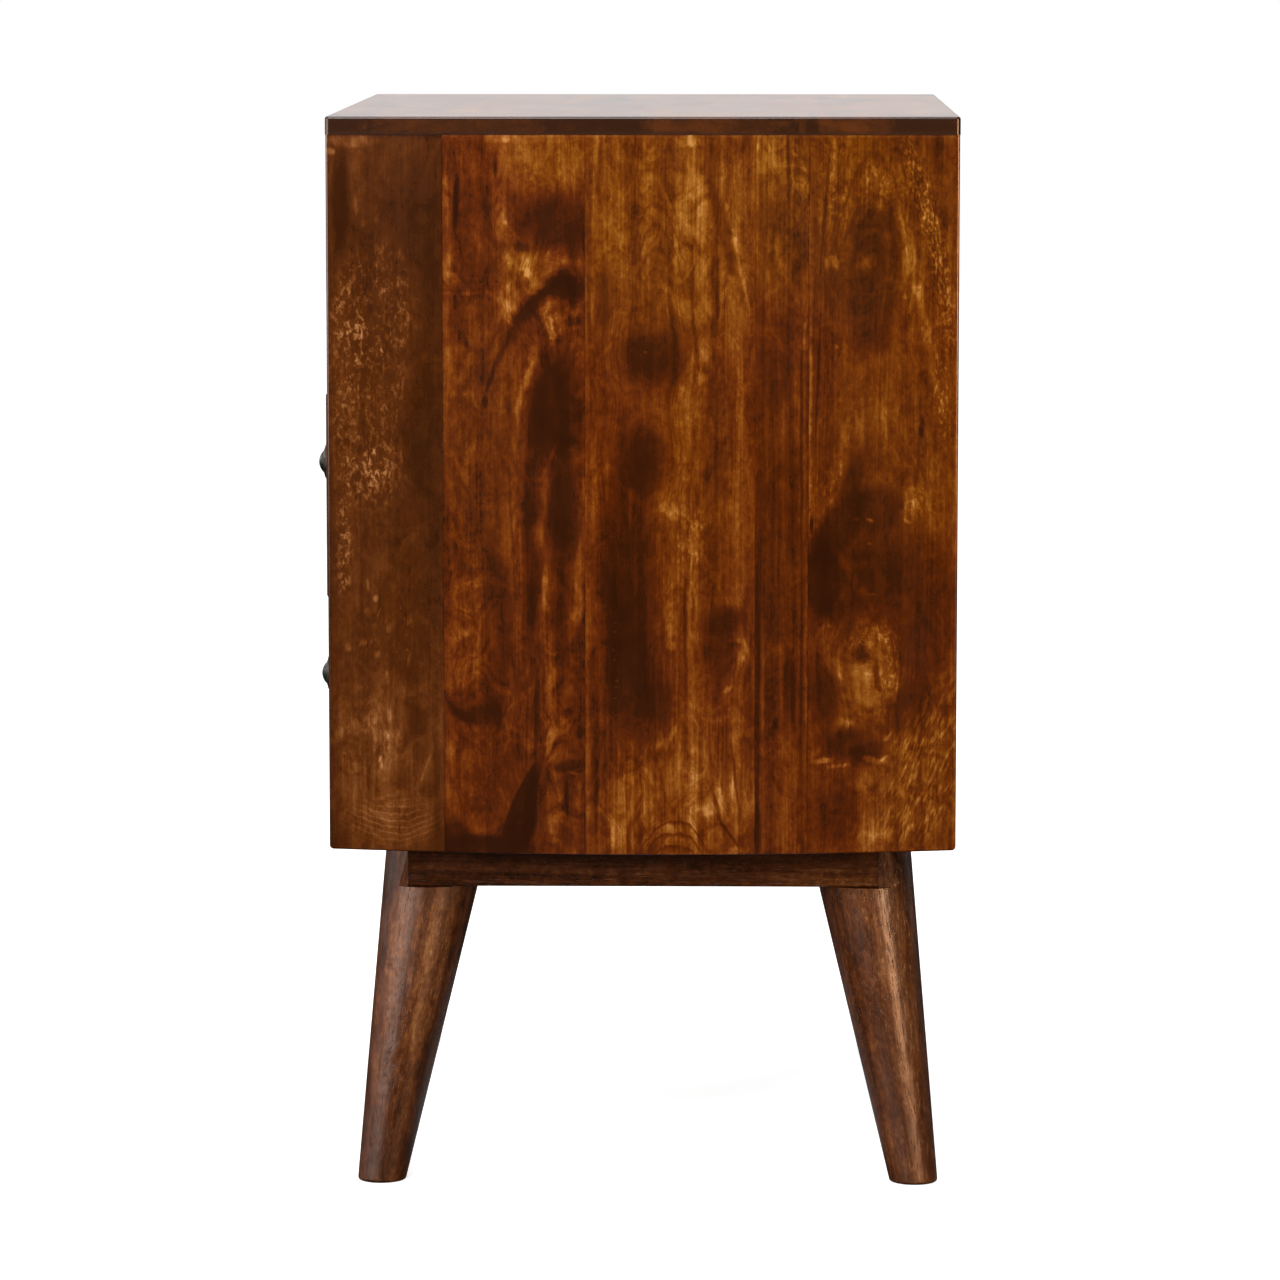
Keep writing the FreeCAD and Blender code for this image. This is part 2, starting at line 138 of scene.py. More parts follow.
# The layers of the wood's figure: lumps to the metre across, through and along the board,
# then the detail, roughness and warp of the noise
figureLayers = {
    "Bands": ((38, 38, 1.4), 3.0, 0.55),
    "Streaks": ((150, 150, 5), 4.0, 0.62),
    "Fibre": ((800, 800, 20), 2.0, 0.6),
    "Clouds": ((14, 14, 8), 6.0, 0.62, 1.2),
    "Curl": ((70, 70, 42), 5.0, 0.62, 1.6),
    "Speckle": ((460, 460, 300), 3.0, 0.7),
}
straightLayers = ("Clouds", "Speckle")  # these don't wander with the grain
grainDetail = {
    "middleTone": 0.45, "seedShift": (1.7, 3.1, 0.9),
    "slow": ((2.0, 2.0, 0.0), (5, 5, 1.7), 2.0), "quick": ((0.6, 0.6, 0.0), (28, 28, 9), 2.0),
    "ringSharpness": 3.0, "ringEnd": 0.86,
    "ringBreaks": ((12, 12, 4), 2.0), "ringRange": (0.3, 0.7, 0.1, 1.0),
    "mottle": ((460, 460, 280), 3.0, 0.58, 0.5), "mottleRange": (0.46, 0.66),
    "livelyRange": (0.75, 1.25, 0.3, 1.15),
    "pore": ((1300, 1300, 60), 1.0), "poreRange": (0.6, 0.72), "fibreRelief": 0.5,
    "lumps": ((0.03, 0.0, 0.036), (60, 60, 42), 5.0, 0.66, 0.5),
    "threads": ((0.002, 0.0, 0.012), (300, 300, 16), 2.0, 0.6),
}


def buildWoodFigure():
    detail = grainDetail
    tree, given, out = startGroup("woodFigure", {
        "Point": origin, "Seed": 0.0, "Pith Across": 0.0, "Pith Depth": 0.1, "Pith Tilt": 0.05,
        "Ring Pitch": 0.006, "Rings": 0.1, "Wander": 0.006, **dict.fromkeys(figureLayers, 0.2),
    }, {**dict.fromkeys(("Tone", "Mottle", "Pore", "Lively", "Height"), "Float"), "Drift": "Vector"})
    shift = calcVector(tree, "MULTIPLY", given["Seed"], detail["seedShift"])
    placed = calcVector(tree, "ADD", given["Point"], shift)

    # the grain wanders from side to side
    slow, quick = (stray(tree, placed, *detail[pace]) for pace in ("slow", "quick"))
    wander = calcVector(tree, "ADD", slow, quick)
    bend = scaleVector(tree, wander, given["Wander"])
    bent = calcVector(tree, "ADD", given["Point"], bend)
    bentPlaced = calcVector(tree, "ADD", placed, bend)

    # growth rings round a pith that runs at a slant past the board
    axes = addNode(tree, "SeparateXYZ", {"Vector": bent}).outputs
    across = minus(tree, axes["X"], given["Pith Across"])
    rise = times(tree, axes["Z"], given["Pith Tilt"])
    depth = plus(tree, minus(tree, axes["Y"], given["Pith Depth"]), rise)
    radius = calc(tree, "SQRT", plus(tree, times(tree, across, across), times(tree, depth, depth)))
    turn = calc(tree, "FRACT", calc(tree, "DIVIDE", radius, given["Ring Pitch"]))
    ring = calc(tree, "POWER", turn, detail["ringSharpness"])
    ring = times(tree, ring, ramp(tree, turn, 1.0, detail["ringEnd"]))
    ring = times(tree, ring, ramp(tree, noise(tree, placed, *detail["ringBreaks"]), *detail["ringRange"]))

    layers = {label: noise(tree, placed if label in straightLayers else bentPlaced, *texture)
              for label, texture in figureLayers.items()}
    tone = detail["middleTone"]
    for label, layer in layers.items():
        tone = plus(tree, tone, swing(tree, layer, given[label]))
    feed(tree, out["Tone"], minus(tree, tone, times(tree, ring, given["Rings"])))
    feed(tree, out["Mottle"], ramp(tree, noise(tree, placed, *detail["mottle"]), *detail["mottleRange"]))
    curled = plus(tree, layers["Curl"], layers["Streaks"])
    feed(tree, out["Lively"], ramp(tree, curled, *detail["livelyRange"]))
    pore = ramp(tree, noise(tree, bentPlaced, *detail["pore"]), *detail["poreRange"])
    feed(tree, out["Pore"], pore)
    feed(tree, out["Height"], minus(tree, times(tree, layers["Fibre"], detail["fibreRelief"]), pore))

    # how far the edge of a stain or knot strays, most of it along the grain
    lumps = stray(tree, placed, *detail["lumps"])
    feed(tree, out["Drift"], calcVector(tree, "ADD", lumps, stray(tree, bentPlaced, *detail["threads"])))
    return tree


def buildSpot():
    # one stained, figured or knotty patch, or a patch of painted shade or painted glint, with a soft or
    # ragged edge, seen right through the board
    tree, given, out = startGroup("figureSpot", {
        "Point": origin, "Drift": origin, "Centre": origin,
        "Half Size": (0.01, 1.0, 0.01), "Lean": 0.0, "Ragged": 0.5, "Soft": 0.5,
    }, {"Mask": "Float"})
    strayed = calcVector(tree, "ADD", given["Point"], scaleVector(tree, given["Drift"], given["Ragged"]))
    turned = leanVector(tree, calcVector(tree, "SUBTRACT", strayed, given["Centre"]), given["Lean"])
    flat = calcVector(tree, "MULTIPLY", turned, (1.0, 0.0, 1.0))
    away = calcVector(tree, "LENGTH", calcVector(tree, "DIVIDE", flat, given["Half Size"]))
    outer = plus(tree, 1.0, given["Soft"])
    inner = minus(tree, 1.0, given["Soft"])
    feed(tree, out["Mask"], ramp(tree, away, outer, inner))
    return tree


bendDetail = {
    "reach": 2.0,  # in half sizes
    "shares": (1.0, 0.0, 0.3),  # across, through and along the board
}


def buildBend():
    # the grain swells round a knot: near Centre the point is pulled in, so the figure opens out
    tree, given, out = startGroup("grainBend", {
        "Point": origin, "Centre": origin, "Half Size": (0.01, 1.0, 0.02), "Push": 0.6,
    }, {"Point": "Vector"})
    offset = calcVector(tree, "SUBTRACT", given["Point"], given["Centre"])
    flat = calcVector(tree, "MULTIPLY", offset, (1.0, 0.0, 1.0))
    away = calcVector(tree, "LENGTH", calcVector(tree, "DIVIDE", flat, given["Half Size"]))
    pull = times(tree, ramp(tree, away, bendDetail["reach"], 0.0), times(tree, given["Push"], -1.0))
    sideways = calcVector(tree, "MULTIPLY", flat, bendDetail["shares"])
    feed(tree, out["Point"], calcVector(tree, "ADD", given["Point"], scaleVector(tree, sideways, pull)))
    return tree


archDetail = {
    "darkest": 0.12, "faded": 0.5,  # in pitches below the top of each arch
    "tip": 4,  # mm over which the first arch sets in
}


def buildArches():
    # nested pointed arches of a flat-sawn board, below Apex
    tree, given, out = startGroup("cathedralArches", {
        "Point": origin, "Drift": origin, "Apex": origin, "Steepness": 300.0, "Pitch": 0.03, "Ragged": 0.2,
    }, {"Line": "Float"})
    strayed = calcVector(tree, "ADD", given["Point"], scaleVector(tree, given["Drift"], given["Ragged"]))
    offset = calcVector(tree, "SUBTRACT", strayed, given["Apex"])
    axes = addNode(tree, "SeparateXYZ", {"Vector": offset}).outputs
    curve = times(tree, times(tree, axes["X"], axes["X"]), given["Steepness"])
    below = times(tree, plus(tree, axes["Z"], curve), -1.0)
    turn = calc(tree, "FRACT", calc(tree, "DIVIDE", below, given["Pitch"]))
    darkening = ramp(tree, turn, 0.0, archDetail["darkest"])
    line = times(tree, darkening, ramp(tree, turn, archDetail["faded"], archDetail["darkest"]))
    feed(tree, out["Line"], times(tree, line, ramp(tree, below, 0.0, archDetail["tip"] * mm)))
    return tree


fleckEdge = 0.12  # how soft the edge of a fleck is


def buildFlecks():
    # short pale dashes: ray flecks, or the marks of a plane; in the middle stave's dark heart, a row of
    # painted glints
    tree, given, out = startGroup("paleFlecks", {
        "Point": origin, "Slant": 0.0, "Length": 0.008, "Width": 0.0015, "Sparse": 0.6,
    }, {"Mask": "Float"})
    turned = leanVector(tree, given["Point"], given["Slant"])
    sides = {"X": given["Width"], "Y": given["Width"], "Z": given["Length"]}
    size = addNode(tree, "CombineXYZ", sides).outputs[0]
    dashes = noise(tree, calcVector(tree, "DIVIDE", turned, size), (1, 1, 1), 1.0)
    feed(tree, out["Mask"], ramp(tree, dashes, given["Sparse"], plus(tree, given["Sparse"], fleckEdge)))
    return tree


edgeBreaks = {"noise": ((90, 90, 90), 4.0, 0.65), "least": 0.3, "swing": 1.4}


def buildEdges():
    # how near a point is to the nearest edge of a box-shaped piece, broken up by noise
    tree, given, out = startGroup("edgeNearness", {
        "Point": origin, "Low": origin, "High": (1.0, 1.0, 1.0), "Width": 0.003,
    }, {"Mask": "Float"})
    reach = calcVector(tree, "MINIMUM", calcVector(tree, "SUBTRACT", given["Point"], given["Low"]),
                       calcVector(tree, "SUBTRACT", given["High"], given["Point"]))
    axes = addNode(tree, "SeparateXYZ", {"Vector": reach}).outputs
    lesser = calc(tree, "MINIMUM", axes["X"], axes["Y"])
    greater = calc(tree, "MAXIMUM", axes["X"], axes["Y"])
    middle = calc(tree, "MAXIMUM", lesser, calc(tree, "MINIMUM", greater, axes["Z"]))
    breaks = times(tree, noise(tree, given["Point"], *edgeBreaks["noise"]), edgeBreaks["swing"])
    broken = times(tree, given["Width"], plus(tree, edgeBreaks["least"], breaks))
    feed(tree, out["Mask"], ramp(tree, middle, broken, 0.0))
    return tree


lacquerNoise = {
    "wiped": ((20, 20, 7), 4.0, 0.6, 0.6), "ripple": ((110, 110, 60), 2.0, 0.5),
    "grit": ((1500, 1500, 1500), 1.0), "gritShare": 0.05,
}


def buildLacquer():
    # the unevenness of a hand-rubbed lacquer: its gloss, a faint ripple and a little grit
    tree, given, out = startGroup("lacquerCoat", {"Point": origin, "Gloss": 0.3, "Unevenness": 0.1},
                                  {"Roughness": "Float", "Height": "Float"})
    kinds = ("wiped", "ripple", "grit")
    wiped, ripple, grit = (noise(tree, given["Point"], *lacquerNoise[kind]) for kind in kinds)
    feed(tree, out["Roughness"], plus(tree, given["Gloss"], swing(tree, wiped, given["Unevenness"])))
    feed(tree, out["Height"], plus(tree, ripple, times(tree, grit, lacquerNoise["gritShare"])))
    return tree


woodFigure = buildWoodFigure()
figureSpot = buildSpot()
grainBend = buildBend()
cathedralArches = buildArches()
paleFlecks = buildFlecks()
edgeNearness = buildEdges()
lacquerCoat = buildLacquer()
print("shared effects built")


# Which way the grain of a board runs: its across, thickness and along directions in the frame
grainDirections = {
    "upright side": ((0, 1, 0), (-1, 0, 0), (0, 0, 1)),
    "upright back": ((1, 0, 0), (0, 1, 0), (0, 0, 1)),
    "level board": ((0, 1, 0), (0, 0, 1), (1, 0, 0)),
    "front": ((0, 0, 1), (0, -1, 0), (1, 0, 0)),
    "front to back": ((0, 0, 1), (1, 0, 0), (0, 1, 0)),
}
endFaceRange = (0.4, 0.9)  # how squarely a face meets the grain, from long grain to end grain


def boardPoint(tree, direction):
    # returns the frame point, the board point and how squarely a face cuts across the grain
    source = addNode(tree, "TexCoord").outputs
    columns = grainDirections[direction] if isinstance(direction, str) else direction
    turn = tuple(Matrix(columns).transposed().to_euler("XYZ"))
    mapped = addNode(tree, "Mapping", {"Vector": source["Object"], "Rotation": turn}, vector_type="TEXTURE")
    facing = addNode(tree, "VectorMath", {0: source["Normal"], 1: columns[2]}, operation="DOT_PRODUCT")
    endFace = ramp(tree, calc(tree, "ABSOLUTE", facing.outputs["Value"]), *endFaceRange)
    return source["Object"], mapped.outputs[0], endFace


def newMaterial(name):
    material = bpy.data.materials.new(name)
    material.use_nodes = True
    tree = material.node_tree
    tree.nodes.clear()
    shader = addNode(tree, "BsdfPrincipled")
    tree.links.new(shader.outputs["BSDF"], addNode(tree, "OutputMaterial").inputs["Surface"])
    return material, tree, shader


def colourRamp(tree, value, stops):
    node = addNode(tree, "ValToRGB", {"Fac": value})
    elements = node.color_ramp.elements
    while len(elements) < len(stops):
        elements.new(0.5)
    for element, (position, colour) in zip(elements, stops):
        element.position = position
        element.color = plainColour(*colour)
    return node.outputs["Color"]


def mixColour(tree, share, first, second):
    node = addNode(tree, "Mix", data_type="RGBA")
    feed(tree, node.inputs["Factor"], share)
    feed(tree, node.inputs["A"], first)
    feed(tree, node.inputs["B"], second)
    return node.outputs["Result"]


# Stained mango wood, from the darkest streak to the palest fleck
caseStain = [
    (0.0, (42, 14, 0)), (0.14, (57, 20, 0)), (0.32, (80, 29, 0)), (0.48, (98, 40, 1)),
    (0.62, (115, 55, 5)), (0.8, (139, 78, 21)), (1.0, (176, 115, 56)),
]
# the front stave is a duller brown
dullStain = [
    (0.0, (42, 16, 0)), (0.14, (54, 21, 0)), (0.32, (71, 31, 2)), (0.48, (90, 43, 8)),
    (0.62, (107, 58, 20)), (0.8, (131, 80, 38)), (1.0, (168, 116, 70)),
]
# the figure near the top is more golden
goldStain = [
    (0.0, (46, 18, 0)), (0.14, (60, 25, 0)), (0.32, (85, 38, 0)), (0.48, (106, 52, 0)),
    (0.62, (123, 69, 4)), (0.8, (148, 93, 22)), (1.0, (184, 128, 62)),
]

# What a board looks like where nothing else is said: lengths are in mm, the rest are shares
woodDefaults = {
    "grain": "upright side", "seed": 1.0, "stain": caseStain, "level": 0.0,
    "pith": (0.0, 0.1, 0.05), "ringPitch": 7, "rings": 0.12, "wander": 6,
    "bands": 0.3, "streaks": 0.22, "fibre": 0.18, "clouds": 0.45, "curl": 0.44, "speckle": 0.26,
    "mottle": 0.07, "endGrain": -0.24, "seam": -0.1, "seamWidth": 0.7, "gloss": 0.18, "unevenness": 0.06,
    "coat": 0.3, "edgeWidth": 3, "edgeChange": -0.12, "bump": 0.12,
    "spots": (), "mottled": (), "flecked": (), "arches": (), "bends": (), "golden": (),
}
# How a dark patch bites, less where the figure is lively
darkPatch = {"strength": 1.9, "even": 1.12, "lively": -0.3}
lacquer = {
    "ior": 1.5, "coatRoughness": 0.12, "edgeRoughness": 0.04, "grainRelief": 0.25, "reliefDepth": 0.5,
    "poreTone": -0.03,
}


def patchPlace(across, along, halfAcross, halfAlong):
    return {"Centre": (across * mm, 0.0, along * mm), "Half Size": (halfAcross * mm, 1.0, halfAlong * mm)}


def patched(tree, tone, mask, change, lively):
    # a dark patch takes a share of the tone away and keeps the figure in it, a pale one adds to the tone
    if change < 0:
        uneven = times(tree, mask, addShare(tree, lively, darkPatch["lively"], darkPatch["even"]))
        return times(tree, tone, addShare(tree, uneven, darkPatch["strength"] * change, 1.0, clamp=True))
    return addShare(tree, times(tree, mask, lively), change, tone)


def edgeMask(tree, place, box, width):
    low, high = (tuple(corner) for corner in box)
    inputs = {"Point": place, "Low": low, "High": high, "Width": width * mm}
    return useGroup(tree, edgeNearness, inputs)["Mask"]


def woodMaterial(name, box, ownBox=None, **changes):
    # spots are (across, along, half across, half along, lean, ragged, soft, change of tone),
    # in mm and degrees; the other patches start in the same way
    look = {**woodDefaults, **changes}
    material, tree, shader = newMaterial(name)
    place, point, endFace = boardPoint(tree, look["grain"])
    grainPoint = point
    for *patch, push in look["bends"]:
        inputs = {"Point": grainPoint, **patchPlace(*patch), "Push": push}
        grainPoint = useGroup(tree, grainBend, inputs)["Point"]
    pithAcross, pithDepth, pithTilt = look["pith"]
    figure = useGroup(tree, woodFigure, {
        "Point": grainPoint, "Seed": look["seed"], "Pith Across": pithAcross, "Pith Depth": pithDepth,
        "Pith Tilt": pithTilt, "Ring Pitch": look["ringPitch"] * mm, "Rings": look["rings"],
        "Wander": look["wander"] * mm, **{label: look[label.lower()] for label in figureLayers},
    })
    drift, lively = figure["Drift"], figure["Lively"]

    def spotMask(spot):
        *patch, lean, ragged, soft = spot
        return useGroup(tree, figureSpot, {
            "Point": point, "Drift": drift, **patchPlace(*patch), "Lean": -math.radians(lean),
            "Ragged": ragged, "Soft": soft,
        })["Mask"]

    tone = plus(tree, figure["Tone"], look["level"])
    tone = addShare(tree, figure["Mottle"], look["mottle"], tone)
    for *spot, change in look["spots"]:
        tone = patched(tree, tone, spotMask(spot), change, lively)
    for *spot, change in look["mottled"]:
        mask = times(tree, spotMask(spot), figure["Mottle"])
        tone = addShare(tree, times(tree, mask, lively), change, tone)
    for *spot, slant, length, width, sparse, change in look["flecked"]:
        dashes = useGroup(tree, paleFlecks, {
            "Point": point, "Slant": -math.radians(slant), "Length": length * mm, "Width": width * mm,
            "Sparse": sparse,
        })["Mask"]
        tone = addShare(tree, times(tree, spotMask(spot), dashes), change, tone)
    for *spot, apexAcross, apexAlong, steepness, pitch, change in look["arches"]:
        lines = useGroup(tree, cathedralArches, {
            "Point": point, "Drift": drift, "Apex": (apexAcross * mm, 0.0, apexAlong * mm),
            "Steepness": steepness / mm, "Pitch": pitch * mm,
        })["Line"]
        tone = patched(tree, tone, times(tree, spotMask(spot), lines), change, 1.0)
    # edges darker by default; a positive change, on the right side's back four staves, paints a paler rim, a
    # painted highlight along the panel's arrises
    edge = edgeMask(tree, place, box, look["edgeWidth"])
    tone = addShare(tree, edge, look["edgeChange"], tone)
    tone = addShare(tree, endFace, look["endGrain"], tone)
    if ownBox:  # glued to its neighbours: a fine dark line along the joint
        tone = addShare(tree, edgeMask(tree, place, ownBox, look["seamWidth"]), look["seam"], tone)
    tone = addShare(tree, figure["Pore"], lacquer["poreTone"], tone, clamp=True)
    colour = colourRamp(tree, tone, look["stain"])
    if look["golden"]:  # where the figure turns yellower
        gilt = 0.0
        for *spot, share in look["golden"]:
            gilt = calc(tree, "MAXIMUM", gilt, times(tree, spotMask(spot), share))
        colour = mixColour(tree, gilt, colour, colourRamp(tree, tone, goldStain))
    feed(tree, shader.inputs["Base Color"], colour)

    inputs = {"Point": point, "Gloss": look["gloss"], "Unevenness": look["unevenness"]}
    coat = useGroup(tree, lacquerCoat, inputs)
    roughness = addShare(tree, edge, lacquer["edgeRoughness"], coat["Roughness"], clamp=True)
    feed(tree, shader.inputs["Roughness"], roughness)
    relief = addShare(tree, figure["Height"], lacquer["grainRelief"], coat["Height"])
    depth = lacquer["reliefDepth"] * mm
    bump = addNode(tree, "Bump", {"Height": relief, "Strength": look["bump"], "Distance": depth})
    feed(tree, shader.inputs["Normal"], bump.outputs["Normal"])
    shader.inputs["IOR"].default_value = lacquer["ior"]
    shader.inputs["Coat Weight"].default_value = look["coat"]
    shader.inputs["Coat Roughness"].default_value = lacquer["coatRoughness"]
    return material


def jointBox(names):
    boxes = [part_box(name) for name in names]
    low = [min(box[0][axis] for box in boxes) for axis in range(3)]
    high = [max(box[1][axis] for box in boxes) for axis in range(3)]
    return low, high


def finish(name, material):
    slots = nodes[name].data.materials
    if not slots:
        slots.append(material)
    for slot in nodes[name].material_slots:
        slot.material = material


def dress(name, box=None, prefix="wood", **look):
    # box is that of the whole glued board, for a stave of it
    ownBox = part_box(name)
    finish(name, woodMaterial(f"{prefix} {name}", box or ownBox, ownBox if box else None, **look))


rightStaves = [f"right_side_stave_{number}" for number in range(1, 6)]
leftStaves = [f"left_side_stave_{number}" for number in range(1, 6)]
topStaves = [f"top_stave_{number}" for number in range(1, 5)]

# The right side, stave by stave from the front: across is the frame's Y and along its Z, both in mm.
# A positive lean tips the top of a patch towards the back.
frontStave = {
    "level": -0.13, "stain": dullStain, "pith": (-0.22, 0.05, 0.02), "rings": 0.03, "bands": 0.16,
    "streaks": 0.12, "clouds": 0.28, "curl": 0.26, "fibre": 0.1, "speckle": 0.2, "mottle": 0.02,
    "spots": (
        (-150, 586.5, 15, 3.6, 0, 0.1, 0.3, 0.17), (-162, 581, 3, 1.8, 20, 0.1, 0.5, 0.4),
        (-145, 585, 6, 4, 0, 0.3, 0.5, 0.14), (-156.5, 553, 4.6, 29, 0, 0.15, 0.4, -0.36),
        (-144, 569, 6, 17, 0, 0.3, 0.6, 0.07), (-112, 541, 12, 28, 0, 0.3, 0.6, -0.24),
        (-148, 551, 1.2, 5, 0, 0.2, 0.6, 0.24), (-136.6, 543, 1.6, 3, 0, 0.1, 0.6, 0.16),
        (-144, 541, 1.5, 2, 0, 0.1, 0.6, 0.12), (-124, 525, 1.2, 3.5, 30, 0.1, 0.6, 0.16),
        (-107, 490, 7, 40, 0, 0.2, 0.5, -0.16), (-110, 424, 9, 40, 0, 0.2, 0.5, -0.26),
        (-106, 465, 6, 4, 40, 0.3, 0.6, 0.16), (-121, 425, 3, 22, 0, 0.3, 0.6, -0.06),
        (-127, 362, 20, 22, 0, 0.2, 0.6, 0.03), (-106, 361, 4, 10, 0, 0.2, 0.6, -0.15),
        (-142.4, 340, 0.9, 3.5, -8, 0.05, 0.5, 0.34), (-138.2, 332.4, 1.5, 1.9, 0, 0.05, 0.6, 0.42),
        (-120, 298.5, 6, 0.8, -75, 0.1, 0.6, 0.24), (-132, 288, 1.2, 4, 0, 0.1, 0.6, 0.24),
        (-118, 287, 5, 6, 0, 0.3, 0.6, -0.2), (-137, 262, 13, 15, 0, 0.3, 0.5, 0.08),
        (-132.6, 256, 1.8, 3, 0, 0.1, 0.6, 0.26), (-135.7, 241, 1.2, 3.6, -5, 0.05, 0.5, 0.42),
        (-130.4, 267, 1.4, 3.4, 0, 0.1, 0.6, 0.2), (-142.4, 263, 1, 2.6, -8, 0.05, 0.6, 0.26),
        (-150.4, 239, 1.2, 2, 0, 0.1, 0.6, 0.26), (-143.8, 235, 1.2, 3, -20, 0.1, 0.6, 0.2),
        (-158.8, 257, 2, 3, 0, 0.2, 0.6, 0.16), (-118, 263, 6, 15, 0, 0.3, 0.6, -0.2),
        (-112, 235, 8, 0.9, -68, 0.2, 0.6, 0.14), (-110, 241, 6, 0.8, -60, 0.2, 0.6, 0.12),
        (-104, 215, 3, 24, 0, 0.2, 0.6, -0.12), (-161, 205, 4, 14, 0, 0.2, 0.6, -0.12),
        (-134, 236, 32, 46, 0, 0.2, 0.5, 0.2), (-143, 325, 1.8, 2.6, 0, 0.1, 0.6, 0.24),
        (-139, 317, 1.4, 2, 0, 0.1, 0.6, 0.22), (-131, 316, 1.3, 2.6, 12, 0.1, 0.6, 0.26),
        (-145, 308, 1.5, 1.8, 0, 0.1, 0.6, 0.24), (-153.5, 305, 1.6, 2.4, 0, 0.1, 0.6, 0.2),
        (-137, 301, 1.6, 2, 0, 0.1, 0.6, 0.22), (-119.5, 320, 1.3, 3, 14, 0.1, 0.6, 0.26),
        (-132, 520, 34, 60, 0, 0.2, 0.6, -0.05),
    ),
    "mottled": (
        (-140, 492, 25, 27, 0, 0.3, 0.4, 0.36), (-142, 438, 22, 46, 0, 0.3, 0.4, 0.32),
        (-156, 362, 4.5, 28, 0, 0.15, 0.4, 0.4), (-140, 400, 18, 16, 0, 0.4, 0.5, 0.24),
        (-135, 522, 16, 10, 0, 0.4, 0.6, 0.14), (-145, 255, 18, 18, 0, 0.4, 0.5, 0.14),
    ),
    "flecked": ((-130, 314, 24, 16, 0, 0.2, 0.5, 18, 5, 1.7, 0.66, 0.26),),
    "arches": ((-128, 207, 24, 12, 0, 0.3, 0.5, -128, 240, -0.013, 3.5, 0.17),),
}
